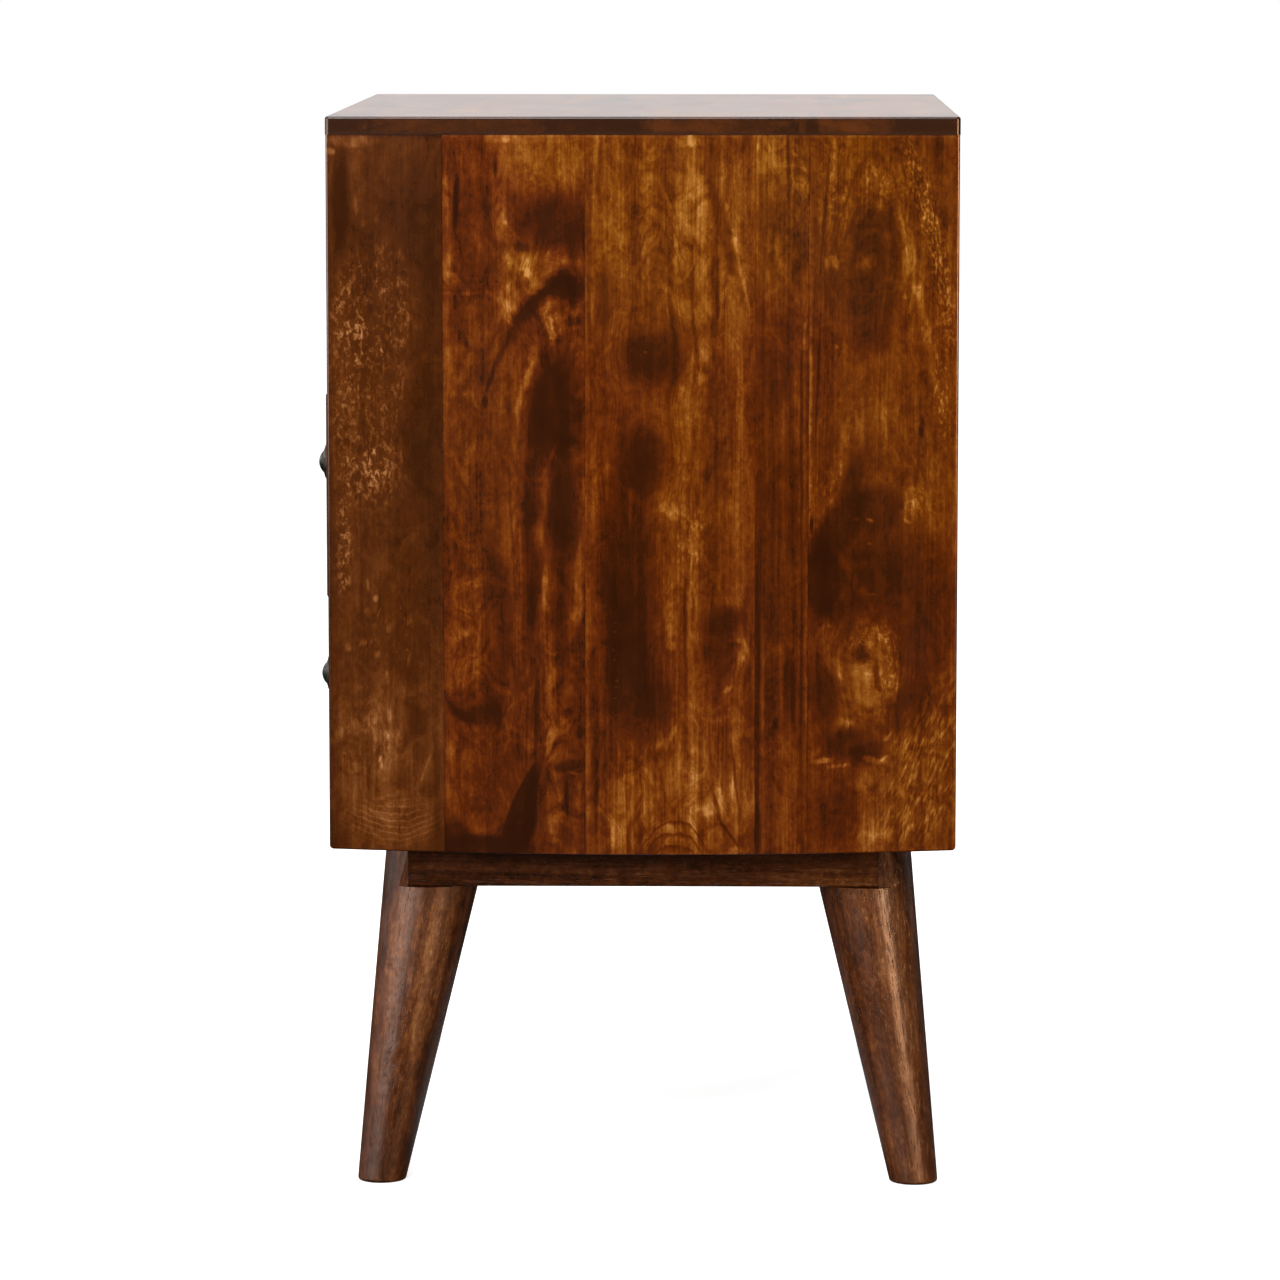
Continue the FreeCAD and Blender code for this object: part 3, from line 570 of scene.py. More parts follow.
burlStave = {
    # its positive edge change is a painted highlight along the panel's arrises
    "level": -0.1, "edgeChange": 0.12, "edgeWidth": 2.4, "pith": (-0.02, 0.03, 0.04), "rings": 0.06,
    "wander": 8, "bands": 0.34, "clouds": 0.38, "curl": 0.42,
    "spots": (
        # the top end: an orange corner, a crack and a small knot
        (-55, 588, 34, 2.4, 0, 0.1, 0.5, 0.14), (-67, 587, 4, 1.2, 0, 0.1, 0.6, 0.2),
        (-38, 575, 22, 13, 0, 0.25, 0.5, 0.13), (-98, 555, 1.6, 20, 0, 0.15, 0.5, 0.2),
        (-92.8, 552, 1.5, 15, 3, 0.1, 0.5, -0.52), (-76, 556, 14, 9, -20, 0.4, 0.6, -0.16),
        (-40, 541, 19, 15, 0, 0.3, 0.45, -0.34), (-27, 532, 7, 10, 0, 0.3, 0.5, -0.3),
        (-71, 573, 1.3, 6, 0, 0.1, 0.6, -0.4), (-75, 564, 3.5, 1, -50, 0.1, 0.6, 0.2),
        (-80, 578, 5, 1, 60, 0.1, 0.6, 0.1),
        # pale flame over the golden burl
        (-68.5, 553, 2.6, 15, -9, 0.25, 0.5, 0.26), (-65, 536, 5, 7, -12, 0.5, 0.5, 0.24),
        (-61.5, 537, 1.2, 6, -42, 0.2, 0.6, 0.26), (-69.5, 533, 2.5, 3.5, 0, 0.4, 0.6, 0.2),
        (-60, 520, 10, 8, 0, 0.6, 0.4, 0.3), (-57, 529.5, 5, 2.6, 0, 0.3, 0.5, -0.32),
        (-65, 523, 3, 5, 0, 0.5, 0.6, 0.16), (-51, 511.5, 2.6, 9, -52, 0.4, 0.5, 0.22),
        (-54, 515, 2, 4, 0, 0.4, 0.6, 0.1), (-52, 503.8, 1.5, 3.5, -70, 0.2, 0.6, 0.2),
        (-38, 521, 6, 7, 0, 0.7, 0.5, 0.36), (-29, 521, 5, 2, 0, 0.5, 0.6, 0.24),
        (-42, 523, 2.5, 2.5, 0, 0.5, 0.6, 0.2), (-31, 507, 10, 7.5, 14, 0.5, 0.5, -0.54),
        (-45, 502.5, 3, 7, 62, 0.2, 0.5, -0.44), (-53, 494, 4.4, 11, 44, 0.4, 0.6, -0.46),
        (-62.5, 481, 3, 10, 26, 0.4, 0.7, -0.28), (-65, 498, 5.4, 11, 0, 0.4, 0.4, 0.34),
        (-65, 492, 3, 8, 0, 0.5, 0.5, 0.24), (-57, 507, 4, 2.4, 0, 0.4, 0.6, -0.12),
        (-43, 495, 2, 6, 30, 0.3, 0.5, 0.28), (-38, 490, 9, 9, 0, 0.6, 0.5, 0.26),
        (-28, 488, 4.5, 3.5, 0, 0.4, 0.5, -0.42), (-27, 497, 2, 3, 0, 0.3, 0.5, -0.3),
        # left of it: a bright block with a hard lower edge
        (-95.5, 515, 5, 12, 0, 0.2, 0.4, 0.26), (-92, 502.6, 9, 1, 0, 0.1, 0.5, 0.34),
        (-77, 503, 3.5, 1.6, 0, 0.3, 0.6, 0.22), (-83, 526, 5, 7, 0, 0.4, 0.6, 0.1),
        (-79, 515, 8, 11, 0, 0.3, 0.6, -0.16), (-75, 543, 4, 10, 0, 0.4, 0.6, -0.14),
        # the thin dark line that runs down from the knot
        (-68, 470, 1.5, 12, 24, 0.15, 0.6, -0.26), (-73.5, 455, 1.2, 11, 14, 0.15, 0.6, -0.28),
        (-76.5, 442, 1.7, 3.6, 0, 0.1, 0.5, -0.42),
        # golden line round the dark middle
        (-40, 478, 5.5, 5.5, 0, 0.6, 0.5, 0.24), (-36, 477, 2, 3, 20, 0.3, 0.5, -0.36),
        (-48, 471, 4, 7, 25, 0.4, 0.5, 0.28), (-54.5, 452, 2, 14, 21, 0.1, 0.5, 0.24),
        (-60, 430, 1.7, 13, 4, 0.1, 0.5, 0.22), (-61, 396, 1.4, 26, 0, 0.1, 0.6, 0.16),
        (-24, 467, 2.4, 6, 0, 0.5, 0.5, 0.2), (-25, 447, 2, 2.6, -30, 0.3, 0.5, 0.34),
        (-37, 438, 15, 28, 6, 0.15, 0.35, -0.4), (-52, 398, 3.4, 50, 2, 0.1, 0.5, -0.4),
        (-33, 385, 8, 35, 0, 0.2, 0.5, -0.42), (-30.5, 421, 4.5, 2.6, -10, 0.1, 0.5, -0.4),
        (-42.5, 407, 1.2, 12, 22, 0.1, 0.5, 0.24), (-45.6, 378, 2.4, 20, 6, 0.15, 0.5, 0.3),
        # first on the next row: a small pale speck under the dark slot, a painted glint
        (-29.5, 416, 2, 0.8, 0, 0.1, 0.6, 0.2), (-33, 373, 2.5, 10, 0, 0.2, 0.6, -0.25),
        (-24, 390, 2.4, 11, 0, 0.4, 0.6, 0.2), (-69, 395, 3.4, 34, 0, 0.1, 0.5, -0.16),
        # left half, below the middle
        (-85, 446, 8, 1.6, 0, 0.3, 0.6, 0.16), (-80, 440, 1.8, 8, 0, 0.3, 0.6, 0.18),
        (-68, 437.4, 9, 0.8, 0, 0.1, 0.6, 0.14), (-85, 417, 5, 2, -60, 0.3, 0.6, 0.16),
        (-87, 402, 4.5, 8, 0, 0.5, 0.6, 0.12), (-87, 364, 3.6, 11, 0, 0.2, 0.6, 0.2),
        (-96, 366, 3, 10, 0, 0.2, 0.6, 0.12), (-84, 328, 5, 32, 0, 0.2, 0.5, 0.22),
        (-72, 318, 6, 42, 0, 0.15, 0.5, -0.28), (-66, 314, 3.4, 28, 0, 0.1, 0.5, -0.34),
        (-58, 325, 2, 26, 0, 0.1, 0.5, 0.14), (-50.5, 334, 3.4, 26, 3, 0.12, 0.6, -0.4),
        (-48.8, 270, 1.5, 32, 0, 0.12, 0.45, -0.38), (-44, 342, 1.6, 12, 3, 0.1, 0.5, 0.26),
        (-45.5, 328, 2.6, 6, 0, 0.3, 0.5, 0.24), (-35, 320, 3.2, 32, 0, 0.12, 0.5, -0.32),
        (-25, 330, 2.6, 30, 2, 0.2, 0.5, 0.22), (-41, 275, 3.4, 30, 0, 0.15, 0.5, 0.2),
        (-31, 269, 3.5, 2.2, 0, 0.2, 0.5, -0.34), (-24.5, 257, 2.6, 2.4, 0, 0.2, 0.5, -0.34),
        # dark smile, wedge and knot near the foot
        (-92, 290, 9, 10, 0, 0.4, 0.6, 0.14), (-97.5, 276, 1.8, 7, -28, 0.15, 0.5, -0.24),
        (-91, 268, 3.4, 8, -55, 0.15, 0.5, -0.3), (-79, 267, 10, 7, 0, 0.2, 0.4, -0.36),
        (-72, 273, 3, 7, 24, 0.2, 0.5, -0.26), (-66, 262, 1.2, 8, -18, 0.2, 0.5, 0.28),
        (-95, 240, 7, 24, 0, 0.3, 0.6, 0.18), (-68, 232, 13, 20, 0, 0.3, 0.5, -0.17),
        (-56.5, 221, 4.4, 25, 25, 0.06, 0.2, -0.5), (-52.5, 215, 3.4, 24, 8, 0.06, 0.25, -0.5),
        (-57, 203, 7, 14, 24, 0.06, 0.25, -0.5), (-78, 192, 27, 8, 0, 0.15, 0.3, -0.48),
        (-98, 199, 11, 10, 0, 0.2, 0.35, -0.46), (-39, 217, 5, 18, 0, 0.15, 0.3, 0.36),
        (-31.8, 221, 1.2, 11, 0, 0.05, 0.4, -0.42), (-25.5, 222, 2.2, 9, 0, 0.2, 0.5, 0.22),
        # the knot, and on it a small pale speck that is a painted glint
        (-31, 238.5, 8, 3.2, -8, 0.2, 0.4, -0.4), (-28, 234.4, 2.6, 0.9, 10, 0.05, 0.5, 0.46),
        (-40, 243, 4, 1.2, -40, 0.15, 0.5, 0.2),
        # how the large areas differ
        (-82, 312, 17, 38, 0, 0.2, 0.6, 0.2), (-82, 232, 20, 38, 0, 0.2, 0.6, -0.09),
        (-42, 410, 17, 60, 0, 0.2, 0.6, -0.1), (-42, 252, 17, 17, 0, 0.2, 0.6, 0.13),
        (-43, 212, 17, 18, 0, 0.2, 0.6, -0.1),
    ),
    "mottled": ((-76, 240, 15, 26, 0, 0.4, 0.5, 0.1), (-38, 488, 12, 14, 0, 0.4, 0.5, 0.16)),
    "golden": ((-58, 518, 14, 14, 0, 0.4, 0.6, 0.5), (-38, 575, 24, 14, 0, 0.3, 0.6, 0.5),
               (-80, 420, 22, 80, 0, 0.3, 0.6, 0.25)),
    "bends": ((-33, 503, 20, 20, 0.6), (-31, 238, 9, 10, 0.7), (-80, 278, 14, 14, 0.4)),
}
goldenStave = {
    # its positive edge change is a painted highlight along the panel's arrises
    "level": -0.03, "edgeChange": 0.12, "edgeWidth": 2.4, "pith": (0.03, 0.06, 0.05), "rings": 0.06,
    "streaks": 0.36, "bands": 0.48, "clouds": 0.3, "curl": 0.34,
    "spots": (
        (10, 545, 34, 46, 0, 0.3, 0.5, 0.08), (34, 587, 15, 3, 0, 0.2, 0.4, 0.2),
        (39.5, 538, 8, 46, 0, 0.2, 0.5, 0.1), (25, 520, 4, 32, 0, 0.3, 0.5, 0.12),
        (24, 572, 5, 16, 0, 0.3, 0.5, 0.14), (41, 562, 2.6, 24, -3, 0.2, 0.5, 0.05),
        (48, 571, 3.6, 12, 0, 0.2, 0.45, -0.24), (56, 534, 4.4, 26, -17, 0.25, 0.5, -0.24),
        (14, 515, 9, 30, 0, 0.3, 0.6, -0.08), (-11, 502, 6, 16, 0, 0.25, 0.6, -0.2),
        (-17.5, 502, 1, 18, 0, 0.1, 0.5, 0.2), (60, 532, 3, 3.5, 0, 0.4, 0.6, 0.26),
        (57, 548, 1, 10, -14, 0.15, 0.6, 0.2), (65, 514, 1, 20, -12, 0.12, 0.6, 0.24),
        (69, 490, 1.2, 14, -4, 0.1, 0.6, 0.2), (51.5, 497, 0.9, 9, 0, 0.1, 0.5, -0.3),
        (-14, 560, 1.4, 22, 4, 0.3, 0.6, -0.16), (5, 575, 1.2, 12, 6, 0.3, 0.6, -0.16),
        # first knot, soft and wide
        (16, 466, 17, 16, 0, 0.4, 0.7, -0.34), (10, 467, 7, 7, 0, 0.4, 0.7, -0.22),
        (12, 470, 0.9, 0.8, 0, 0, 0.5, 0.3), (-8, 457, 2.6, 4, 0, 0.5, 0.6, -0.1),
        (42, 464, 6, 12, 0, 0.4, 0.5, 0.24), (65, 444, 2.4, 20, 0, 0.2, 0.5, 0.2),
        (36, 438, 9, 14, 0, 0.4, 0.6, 0.08), (49.5, 429, 1, 4, -20, 0.1, 0.5, 0.2),
        # second knot and the long dark heart below it
        (11, 412, 14, 17, 0, 0.35, 0.6, -0.34), (11, 407, 6, 11, 0, 0.3, 0.7, -0.16),
        (2, 345, 13, 64, 0, 0.3, 0.8, -0.44), (7, 292, 13, 36, -2, 0.35, 0.8, -0.34),
        (-5, 307, 4.4, 46, 0, 0.12, 0.5, -0.34), (3.5, 386, 1, 11, 0, 0.1, 0.6, 0.14),
        (21, 276, 7, 14, 0, 0.2, 0.5, -0.24), (21, 246, 7, 4, 0, 0.3, 0.5, -0.22),
        (20, 251, 4.4, 3, 0, 0.2, 0.6, 0.14), (27, 258, 1.6, 5, 20, 0.3, 0.6, 0.2),
        (-16.5, 380, 1.6, 50, 0, 0.1, 0.6, 0.14), (-9.5, 402, 1.2, 14, 0, 0.1, 0.6, 0.16),
        (27, 382, 5.5, 5, 0, 0.6, 0.5, 0.2), (38, 362, 8, 14, 0, 0.7, 0.5, 0.08),
        (40, 368, 19, 38, 0, 0.3, 0.5, 0.08), (40, 330, 5, 54, 0, 0.3, 0.5, 0.2),
        (54, 400, 4, 14, 0, 0.3, 0.6, -0.1),
        # leaf of paler wood with a dark outline
        (27, 328, 4.6, 22, 3, 0.1, 0.4, 0.16), (26.5, 306, 3, 2.6, 0, 0.15, 0.5, 0.26),
        (34, 325, 0.9, 26, 0, 0.1, 0.5, -0.26), (22, 312, 1, 12, 3, 0.1, 0.5, -0.2),
        # third knot, with a curl at its right
        (53, 308, 9, 18, 0, 0.3, 0.5, -0.28), (58, 320, 11, 7, 0, 0.3, 0.5, -0.26),
        (62, 309, 4, 1.4, 0, 0.2, 0.5, 0.36), (66.5, 303, 2.2, 7, 16, 0.2, 0.5, 0.32),
        (69, 290, 1.7, 7, 10, 0.15, 0.5, -0.3), (58, 283, 3, 1.4, -40, 0.2, 0.5, 0.3),
        # pale foot
        (20, 226, 52, 32, 0, 0.25, 0.4, 0.17), (-5, 200, 7, 9, 0, 0.4, 0.6, 0.2),
        (56, 223, 5, 13, 3, 0.2, 0.5, 0.3), (47.5, 246, 1, 14, 0, 0.1, 0.5, -0.3),
        (51, 218, 1.2, 13, -18, 0.1, 0.6, -0.22), (58, 202, 1, 10, -35, 0.1, 0.5, -0.3),
        (62, 232, 0.9, 18, -6, 0.1, 0.5, -0.26), (-16, 225, 1.5, 36, 0, 0.1, 0.6, -0.28),
        (4, 243, 1, 10, 0, 0.1, 0.6, 0.14), (44, 208, 8, 6, 0, 0.4, 0.6, 0.16),
        (63, 192, 4, 1.4, 0, 0.2, 0.5, 0.3), (66, 197, 2, 4, 0, 0.2, 0.6, -0.22),
        # how the large areas differ
        (3, 548, 22, 40, 0, 0.2, 0.6, 0.1), (3, 212, 22, 20, 0, 0.2, 0.6, 0.14),
        (48, 535, 20, 60, 0, 0.2, 0.6, 0.18), (48, 335, 20, 58, 0, 0.2, 0.6, -0.08),
        (48, 235, 20, 38, 0, 0.2, 0.6, 0.14),
    ),
    "arches": (
        (20, 538, 24, 34, 0, 0.15, 0.5, 18, 566, 0.15, 12, -0.15),
        (28, 200, 24, 14, 0, 0.1, 0.35, 28, 215, 0.045, 6.5, -0.26),
    ),
    # a row of small pale dashes in the dark heart: painted glints
    "flecked": ((-5, 295, 1.5, 36, 0, 0.05, 0.5, 80, 2.4, 1.3, 0.6, 0.42),),
    "mottled": ((38, 365, 10, 20, 0, 0.4, 0.5, 0.2),),
    "golden": ((22, 545, 60, 76, 0, 0.3, 0.5, 0.5), (38, 400, 26, 80, 0, 0.4, 0.6, 0.25),
               (20, 215, 60, 44, 0, 0.3, 0.5, 0.1)),
    "bends": ((15, 468, 18, 18, 0.4), (10, 410, 16, 20, 0.4), (53, 308, 10, 18, 0.5)),
}
narrowStave = {
    # its positive edge change is a painted highlight along the panel's arrises
    "level": -0.05, "edgeChange": 0.12, "edgeWidth": 2.4, "pith": (0.3, 0.1, 0.0), "rings": 0.12,
    "wander": 3, "streaks": 0.45, "bands": 0.52, "clouds": 0.3, "curl": 0.28,
    "spots": (
        (88, 575, 20, 24, 0, 0.3, 0.5, 0.18), (98, 562, 3.6, 10, 0, 0.4, 0.5, 0.28),
        (82, 578, 4, 9, 0, 0.4, 0.5, 0.2), (91, 573, 1, 22, 0, 0.2, 0.5, -0.26),
        (76, 440, 2.4, 140, 0, 0.1, 0.5, -0.2), (101.5, 548, 1.6, 10, 0, 0.2, 0.6, 0.16),
        (85, 465, 8, 26, 0, 0.25, 0.5, -0.26), (98.5, 415, 0.9, 70, 0, 0.08, 0.5, -0.36),
        (101, 490, 0.9, 16, 8, 0.1, 0.5, 0.26), (96, 402, 1.2, 60, 0, 0.12, 0.6, 0.12),
        (86, 385, 7, 40, 0, 0.2, 0.6, -0.12), (79.5, 404, 1, 6, 0, 0.1, 0.6, 0.2),
        (101.4, 300, 0.8, 50, 0, 0.05, 0.5, 0.3), (98.8, 300, 0.8, 50, 0, 0.05, 0.5, -0.26),
        (92.5, 285, 3.2, 22, 0, 0.25, 0.5, -0.3), (85, 318, 6, 8, 0, 0.3, 0.6, -0.16),
        (90, 215, 12, 30, 0, 0.3, 0.6, 0.12), (85.5, 228, 1.4, 5, -30, 0.2, 0.5, -0.26),
        (75, 202, 1.8, 14, 0, 0.1, 0.5, -0.4), (82, 250, 1.4, 20, 0, 0.2, 0.6, 0.16),
        (77, 300, 0.9, 45, 0, 0.08, 0.5, 0.2), (74.6, 270, 1.1, 85, 0, 0.06, 0.5, -0.28),
        (88, 508, 12, 40, 0, 0.2, 0.6, 0.17), (88, 368, 14, 60, 0, 0.2, 0.6, -0.11),
    ),
    "mottled": ((97, 558, 6, 26, 0, 0.3, 0.5, 0.16),),
    "golden": ((88, 560, 22, 60, 0, 0.3, 0.5, 0.7), (88, 400, 22, 90, 0, 0.3, 0.6, 0.15)),
}
archedStave = {
    # its positive edge change is a painted highlight along the panel's arrises
    "level": -0.04, "edgeChange": 0.14, "edgeWidth": 2.4, "pith": (0.138, 0.02, 0.03), "rings": 0.04,
    "wander": 5, "curl": 0.32, "clouds": 0.25, "bands": 0.2,
    "spots": (
        # golden shoulders either side of the arch
        (117, 566, 7, 26, 8, 0.4, 0.5, 0.2), (143, 566, 13, 12, 0, 0.5, 0.6, 0.14),
        (155.5, 545, 2.6, 13, -14, 0.3, 0.5, 0.3), (160, 516, 3.2, 22, -11, 0.25, 0.45, 0.32),
        (166, 488, 3, 16, -14, 0.25, 0.5, 0.3), (139, 535, 13, 14, 0, 0.3, 0.4, -0.18),
        (138, 503, 15, 26, 0, 0.25, 0.4, -0.2), (115.8, 519.5, 4.4, 3, 0, 0.4, 0.45, 0.36),
        (135.5, 520.5, 4.6, 3, 0, 0.4, 0.5, 0.36), (121, 545, 6, 2.4, -70, 0.5, 0.6, 0.2),
        (119, 500, 7, 14, 0, 0.3, 0.6, -0.08), (176, 560, 8, 30, -10, 0.2, 0.5, -0.06),
        (155, 501, 1.2, 1.6, 0, 0.1, 0.5, 0.3), (138, 476, 11, 7, 0, 0.3, 0.5, -0.16),
        (110.8, 548, 0.9, 34, 4, 0.15, 0.5, -0.26), (106, 500, 1.6, 60, 0, 0.15, 0.5, -0.12),
        # strokes in the middle
        (103.6, 430, 1, 60, 0, 0.06, 0.5, 0.22), (107.4, 455, 0.8, 36, 2, 0.06, 0.5, -0.3),
        (118, 473.5, 1.4, 0.9, 50, 0.1, 0.5, 0.42), (162, 440, 1.6, 34, 0, 0.3, 0.5, 0.16),
        (165, 429, 1.5, 6, 0, 0.1, 0.5, -0.4), (120, 415, 3.6, 11, 8, 0.6, 0.5, 0.22),
        (112, 393, 5, 14, 16, 0.6, 0.5, 0.2), (129, 427, 4, 6, 0, 0.6, 0.6, 0.14),
        (144, 435, 2, 8, -4, 0.3, 0.6, 0.16), (173, 448, 2, 14, -20, 0.4, 0.6, 0.16),
        # big knot at half height: a slanting top edge, dark below
        (140, 383, 14, 14, 0, 0.25, 0.3, -0.34), (127, 398, 4.6, 14, 16, 0.2, 0.4, -0.3),
        (119, 372, 10, 25, 33, 0.15, 0.3, -0.36), (111, 344, 10, 24, 0, 0.15, 0.35, -0.4),
        (136, 348, 24, 26, 0, 0.3, 0.6, -0.33), (161, 340, 24, 30, 0, 0.3, 0.6, -0.17),
        (163, 300, 14, 30, 0, 0.3, 0.5, -0.18), (112, 322, 12, 12, 0, 0.4, 0.5, -0.14),
        (127, 346, 2.4, 20, -32, 0.2, 0.6, 0.16), (104, 374, 1, 5, 0, 0.05, 0.5, -0.5),
        # small pale specks on the knot, these three rows: painted glints
        (136.5, 377, 1.8, 0.9, 20, 0, 0.5, 0.36), (129.5, 377.5, 1.4, 0.8, 0, 0, 0.5, 0.24),
        (136.5, 364, 1.4, 0.8, 0, 0, 0.5, 0.28), (126.5, 386, 1.4, 0.7, -40, 0, 0.5, 0.2),
        (136.5, 335.6, 3, 0.6, 0, 0, 0.5, 0.24), (121, 335, 1.2, 0.6, 0, 0, 0.5, 0.2),
        (158, 389, 3.6, 14, 0, 0.6, 0.45, 0.26), (157.5, 376, 2.4, 1, 35, 0.2, 0.5, 0.3),
        (170, 392, 7, 20, 0, 0.5, 0.6, 0.12),
        # curled figure below the knot
        (138, 299, 14, 21, -12, 0.6, 0.4, 0.2), (118, 294, 4, 9, -34, 0.3, 0.4, 0.3),
        (128, 280, 8, 15, 8, 0.6, 0.4, 0.14), (124, 265, 5, 5, 0, 0.4, 0.5, 0.22),
        (139, 274, 5, 3, 30, 0.5, 0.5, 0.16), (114, 312, 7, 8, 0, 0.6, 0.5, 0.2),
        (133, 301, 3.6, 6, 12, 0.7, 0.5, -0.4), (141, 290, 2, 8, -8, 0.4, 0.5, -0.3),
        (110, 279, 8, 20, -6, 0.2, 0.45, -0.3), (124, 252, 17, 8, 0, 0.3, 0.45, -0.32),
        (136, 246, 10, 5, -20, 0.3, 0.5, -0.3), (142, 262, 6, 3, 30, 0.4, 0.6, -0.2),
        (111, 242.4, 5.6, 1.5, -10, 0.15, 0.5, 0.5), (120, 239.6, 6, 1, -10, 0.15, 0.5, 0.36),
        (139, 242.6, 6, 1.6, 12, 0.2, 0.5, 0.34), (145, 243.4, 2.4, 0.9, -40, 0.1, 0.5, 0.28),
        (147, 256, 4, 1, -60, 0.2, 0.5, 0.22), (114.5, 317.5, 1.2, 1, 0, 0.1, 0.5, 0.34),
        (134, 228, 5, 9, 0, 0.6, 0.6, 0.16), (138, 203, 7, 9, 0, 0.5, 0.6, 0.18),
        (117, 212, 9, 20, 0, 0.3, 0.6, -0.2), (160, 270, 13, 14, 0, 0.3, 0.5, -0.24),
        (170, 226, 26, 46, 22, 0.25, 0.4, 0.13), (183.5, 420, 1.4, 190, 0, 0.05, 0.4, 0.08),
        # how the large areas differ
        (124, 409, 17, 19, 0, 0.3, 0.6, -0.17), (165, 530, 18, 58, 0, 0.2, 0.6, 0.15),
    ),
    "mottled": (
        (116, 566, 9, 26, 0, 0.4, 0.5, 0.16), (145, 558, 18, 16, 0, 0.4, 0.5, 0.16),
        (138, 314, 13, 6, 0, 0.3, 0.4, 0.24), (149, 294, 5, 18, 0, 0.3, 0.4, 0.26),
        (128, 308, 6, 4, 0, 0.3, 0.5, 0.34), (112, 395, 8, 16, 16, 0.4, 0.5, 0.2),
        (160, 395, 8, 18, 0, 0.4, 0.5, 0.16),
    ),
    "flecked": (
        (163, 560, 5, 34, -16, 0.15, 0.5, -16, 3.4, 1.5, 0.5, 0.3),
        (174, 520, 5, 50, -9, 0.15, 0.5, -9, 3.4, 1.5, 0.5, 0.28),
        (176, 450, 5, 34, -6, 0.3, 0.5, -6, 3.4, 1.5, 0.54, 0.24),
        (168, 238, 20, 50, 18, 0.3, 0.4, 22, 9, 1.7, 0.52, 0.24),
    ),
    "arches": (
        (138, 556, 24, 50, 0, 0.12, 0.4, 138, 604, 0.105, 22, -0.17),
        (139, 535, 13, 22, 0, 0.12, 0.5, 139, 553, 0.14, 40, -0.2),
    ),
    "golden": ((138, 550, 50, 64, 0, 0.3, 0.5, 0.6), (150, 420, 40, 70, 0, 0.3, 0.6, 0.35),
               (165, 230, 30, 50, 0, 0.3, 0.6, 0.3), (132, 285, 22, 34, 0, 0.3, 0.6, 0.3)),
    "bends": ((133, 296, 16, 18, 0.5), (136, 520, 16, 16, 0.4)),
}
rightSideLooks = (frontStave, burlStave, goldenStave, narrowStave, archedStave)


# Ranges that a board's chance figure is drawn from: half width, half length, lean and change of tone.
# A knot's half length is in half widths.
chanceRanges = {
    "knot": ((6, 13), (1.3, 3.2), (-20, 20), (0.2, 0.45)),
    "paleFlame": ((4, 11), (12, 34), (-8, 8), (0.12, 0.3)),
    "darkStreak": ((1.5, 4), (25, 70), (-4, 4), (0.15, 0.35)),
    "archSpan": (20, 34), "level": (-0.05, 0.07),
}
# how ragged and how soft the edge of each is
chanceEdges = {"knot": (0.5, 0.65), "paleFlame": (0.8, 0.5), "darkStreak": (0.3, 0.5)}
# the swelling of the grain round a knot: its half length in half widths, and how many a board has at most
knotBend = {"length": 2.2, "push": 0.6, "most": 3}
# half width, half length, lean, ragged, soft and change
mottledPatch = (22, 45, 0, 0.5, 0.5, 0.26)
# where the arches lie from their place; then lean, ragged and soft; then steepness, pitch and change
archLook = {"drop": 40, "rise": 20, "halfLength": 70, "edge": (0, 0.2, 0.5), "lines": (0.1, 22, -0.18)}


def chanceFigure(seed, low, high, patches=5):
    # knots, pale flames and dark streaks for a board whose face isn't drawn patch by patch:
    # low and high are the face's corners, across and along the grain, in mm
    chance = random.Random(seed)

    def somewhere():
        return chance.uniform(low[0], high[0]), chance.uniform(low[1], high[1])

    def drawn(kind):
        return (chance.uniform(*span) for span in chanceRanges[kind])

    spots, bends = [], []
    for _ in range(patches):
        place = somewhere()
        size, stretch, lean, change = drawn("knot")
        spots.append((*place, size, size * stretch, lean, *chanceEdges["knot"], -change))
        bends.append((*place, size, size * knotBend["length"], knotBend["push"]))
        place = somewhere()
        width, length, lean, change = drawn("paleFlame")
        spots.append((*place, width, length, lean, *chanceEdges["paleFlame"], change))
        place = somewhere()
        width, length, lean, change = drawn("darkStreak")
        spots.append((*place, width, length, lean, *chanceEdges["darkStreak"], -change))
    mottled = [(*somewhere(), *mottledPatch)]
    across, along = somewhere()
    span = chance.uniform(*chanceRanges["archSpan"])
    patch = (across, along - archLook["drop"], span, archLook["halfLength"])
    arches = [(*patch, *archLook["edge"], across, along + archLook["rise"], *archLook["lines"])]
    level = chance.uniform(*chanceRanges["level"])
    bends = bends[:knotBend["most"]]
    return {"spots": spots, "mottled": mottled, "arches": arches, "bends": bends, "level": level}


def faceCorners(name, grain):
    # a node's box as across and along corners in mm, with the grain
    across, _, along = (Vector(direction) for direction in grainDirections[grain])
    low, high = (Vector(corner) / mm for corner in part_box(name))
    acrossEnds = sorted((low.dot(across), high.dot(across)))
    alongEnds = sorted((low.dot(along), high.dot(along)))
    return zip(acrossEnds, alongEnds)


def dressBoards(names, grain, seed, box=None, patches=5, marks=None, **changes):
    for number, name in enumerate(names):
        figure = chanceFigure(seed + number, *faceCorners(name, grain), patches)
        figure["spots"] += (marks or {}).get(name, [])
        dress(name, box, **{**figure, "grain": grain, "seed": seed + number, **changes})


for number, name in enumerate(rightStaves):
    dress(name, jointBox(rightStaves), seed=1.0 + number, **rightSideLooks[number])
dressBoards(leftStaves, "upright side", seed=40, box=jointBox(leftStaves))
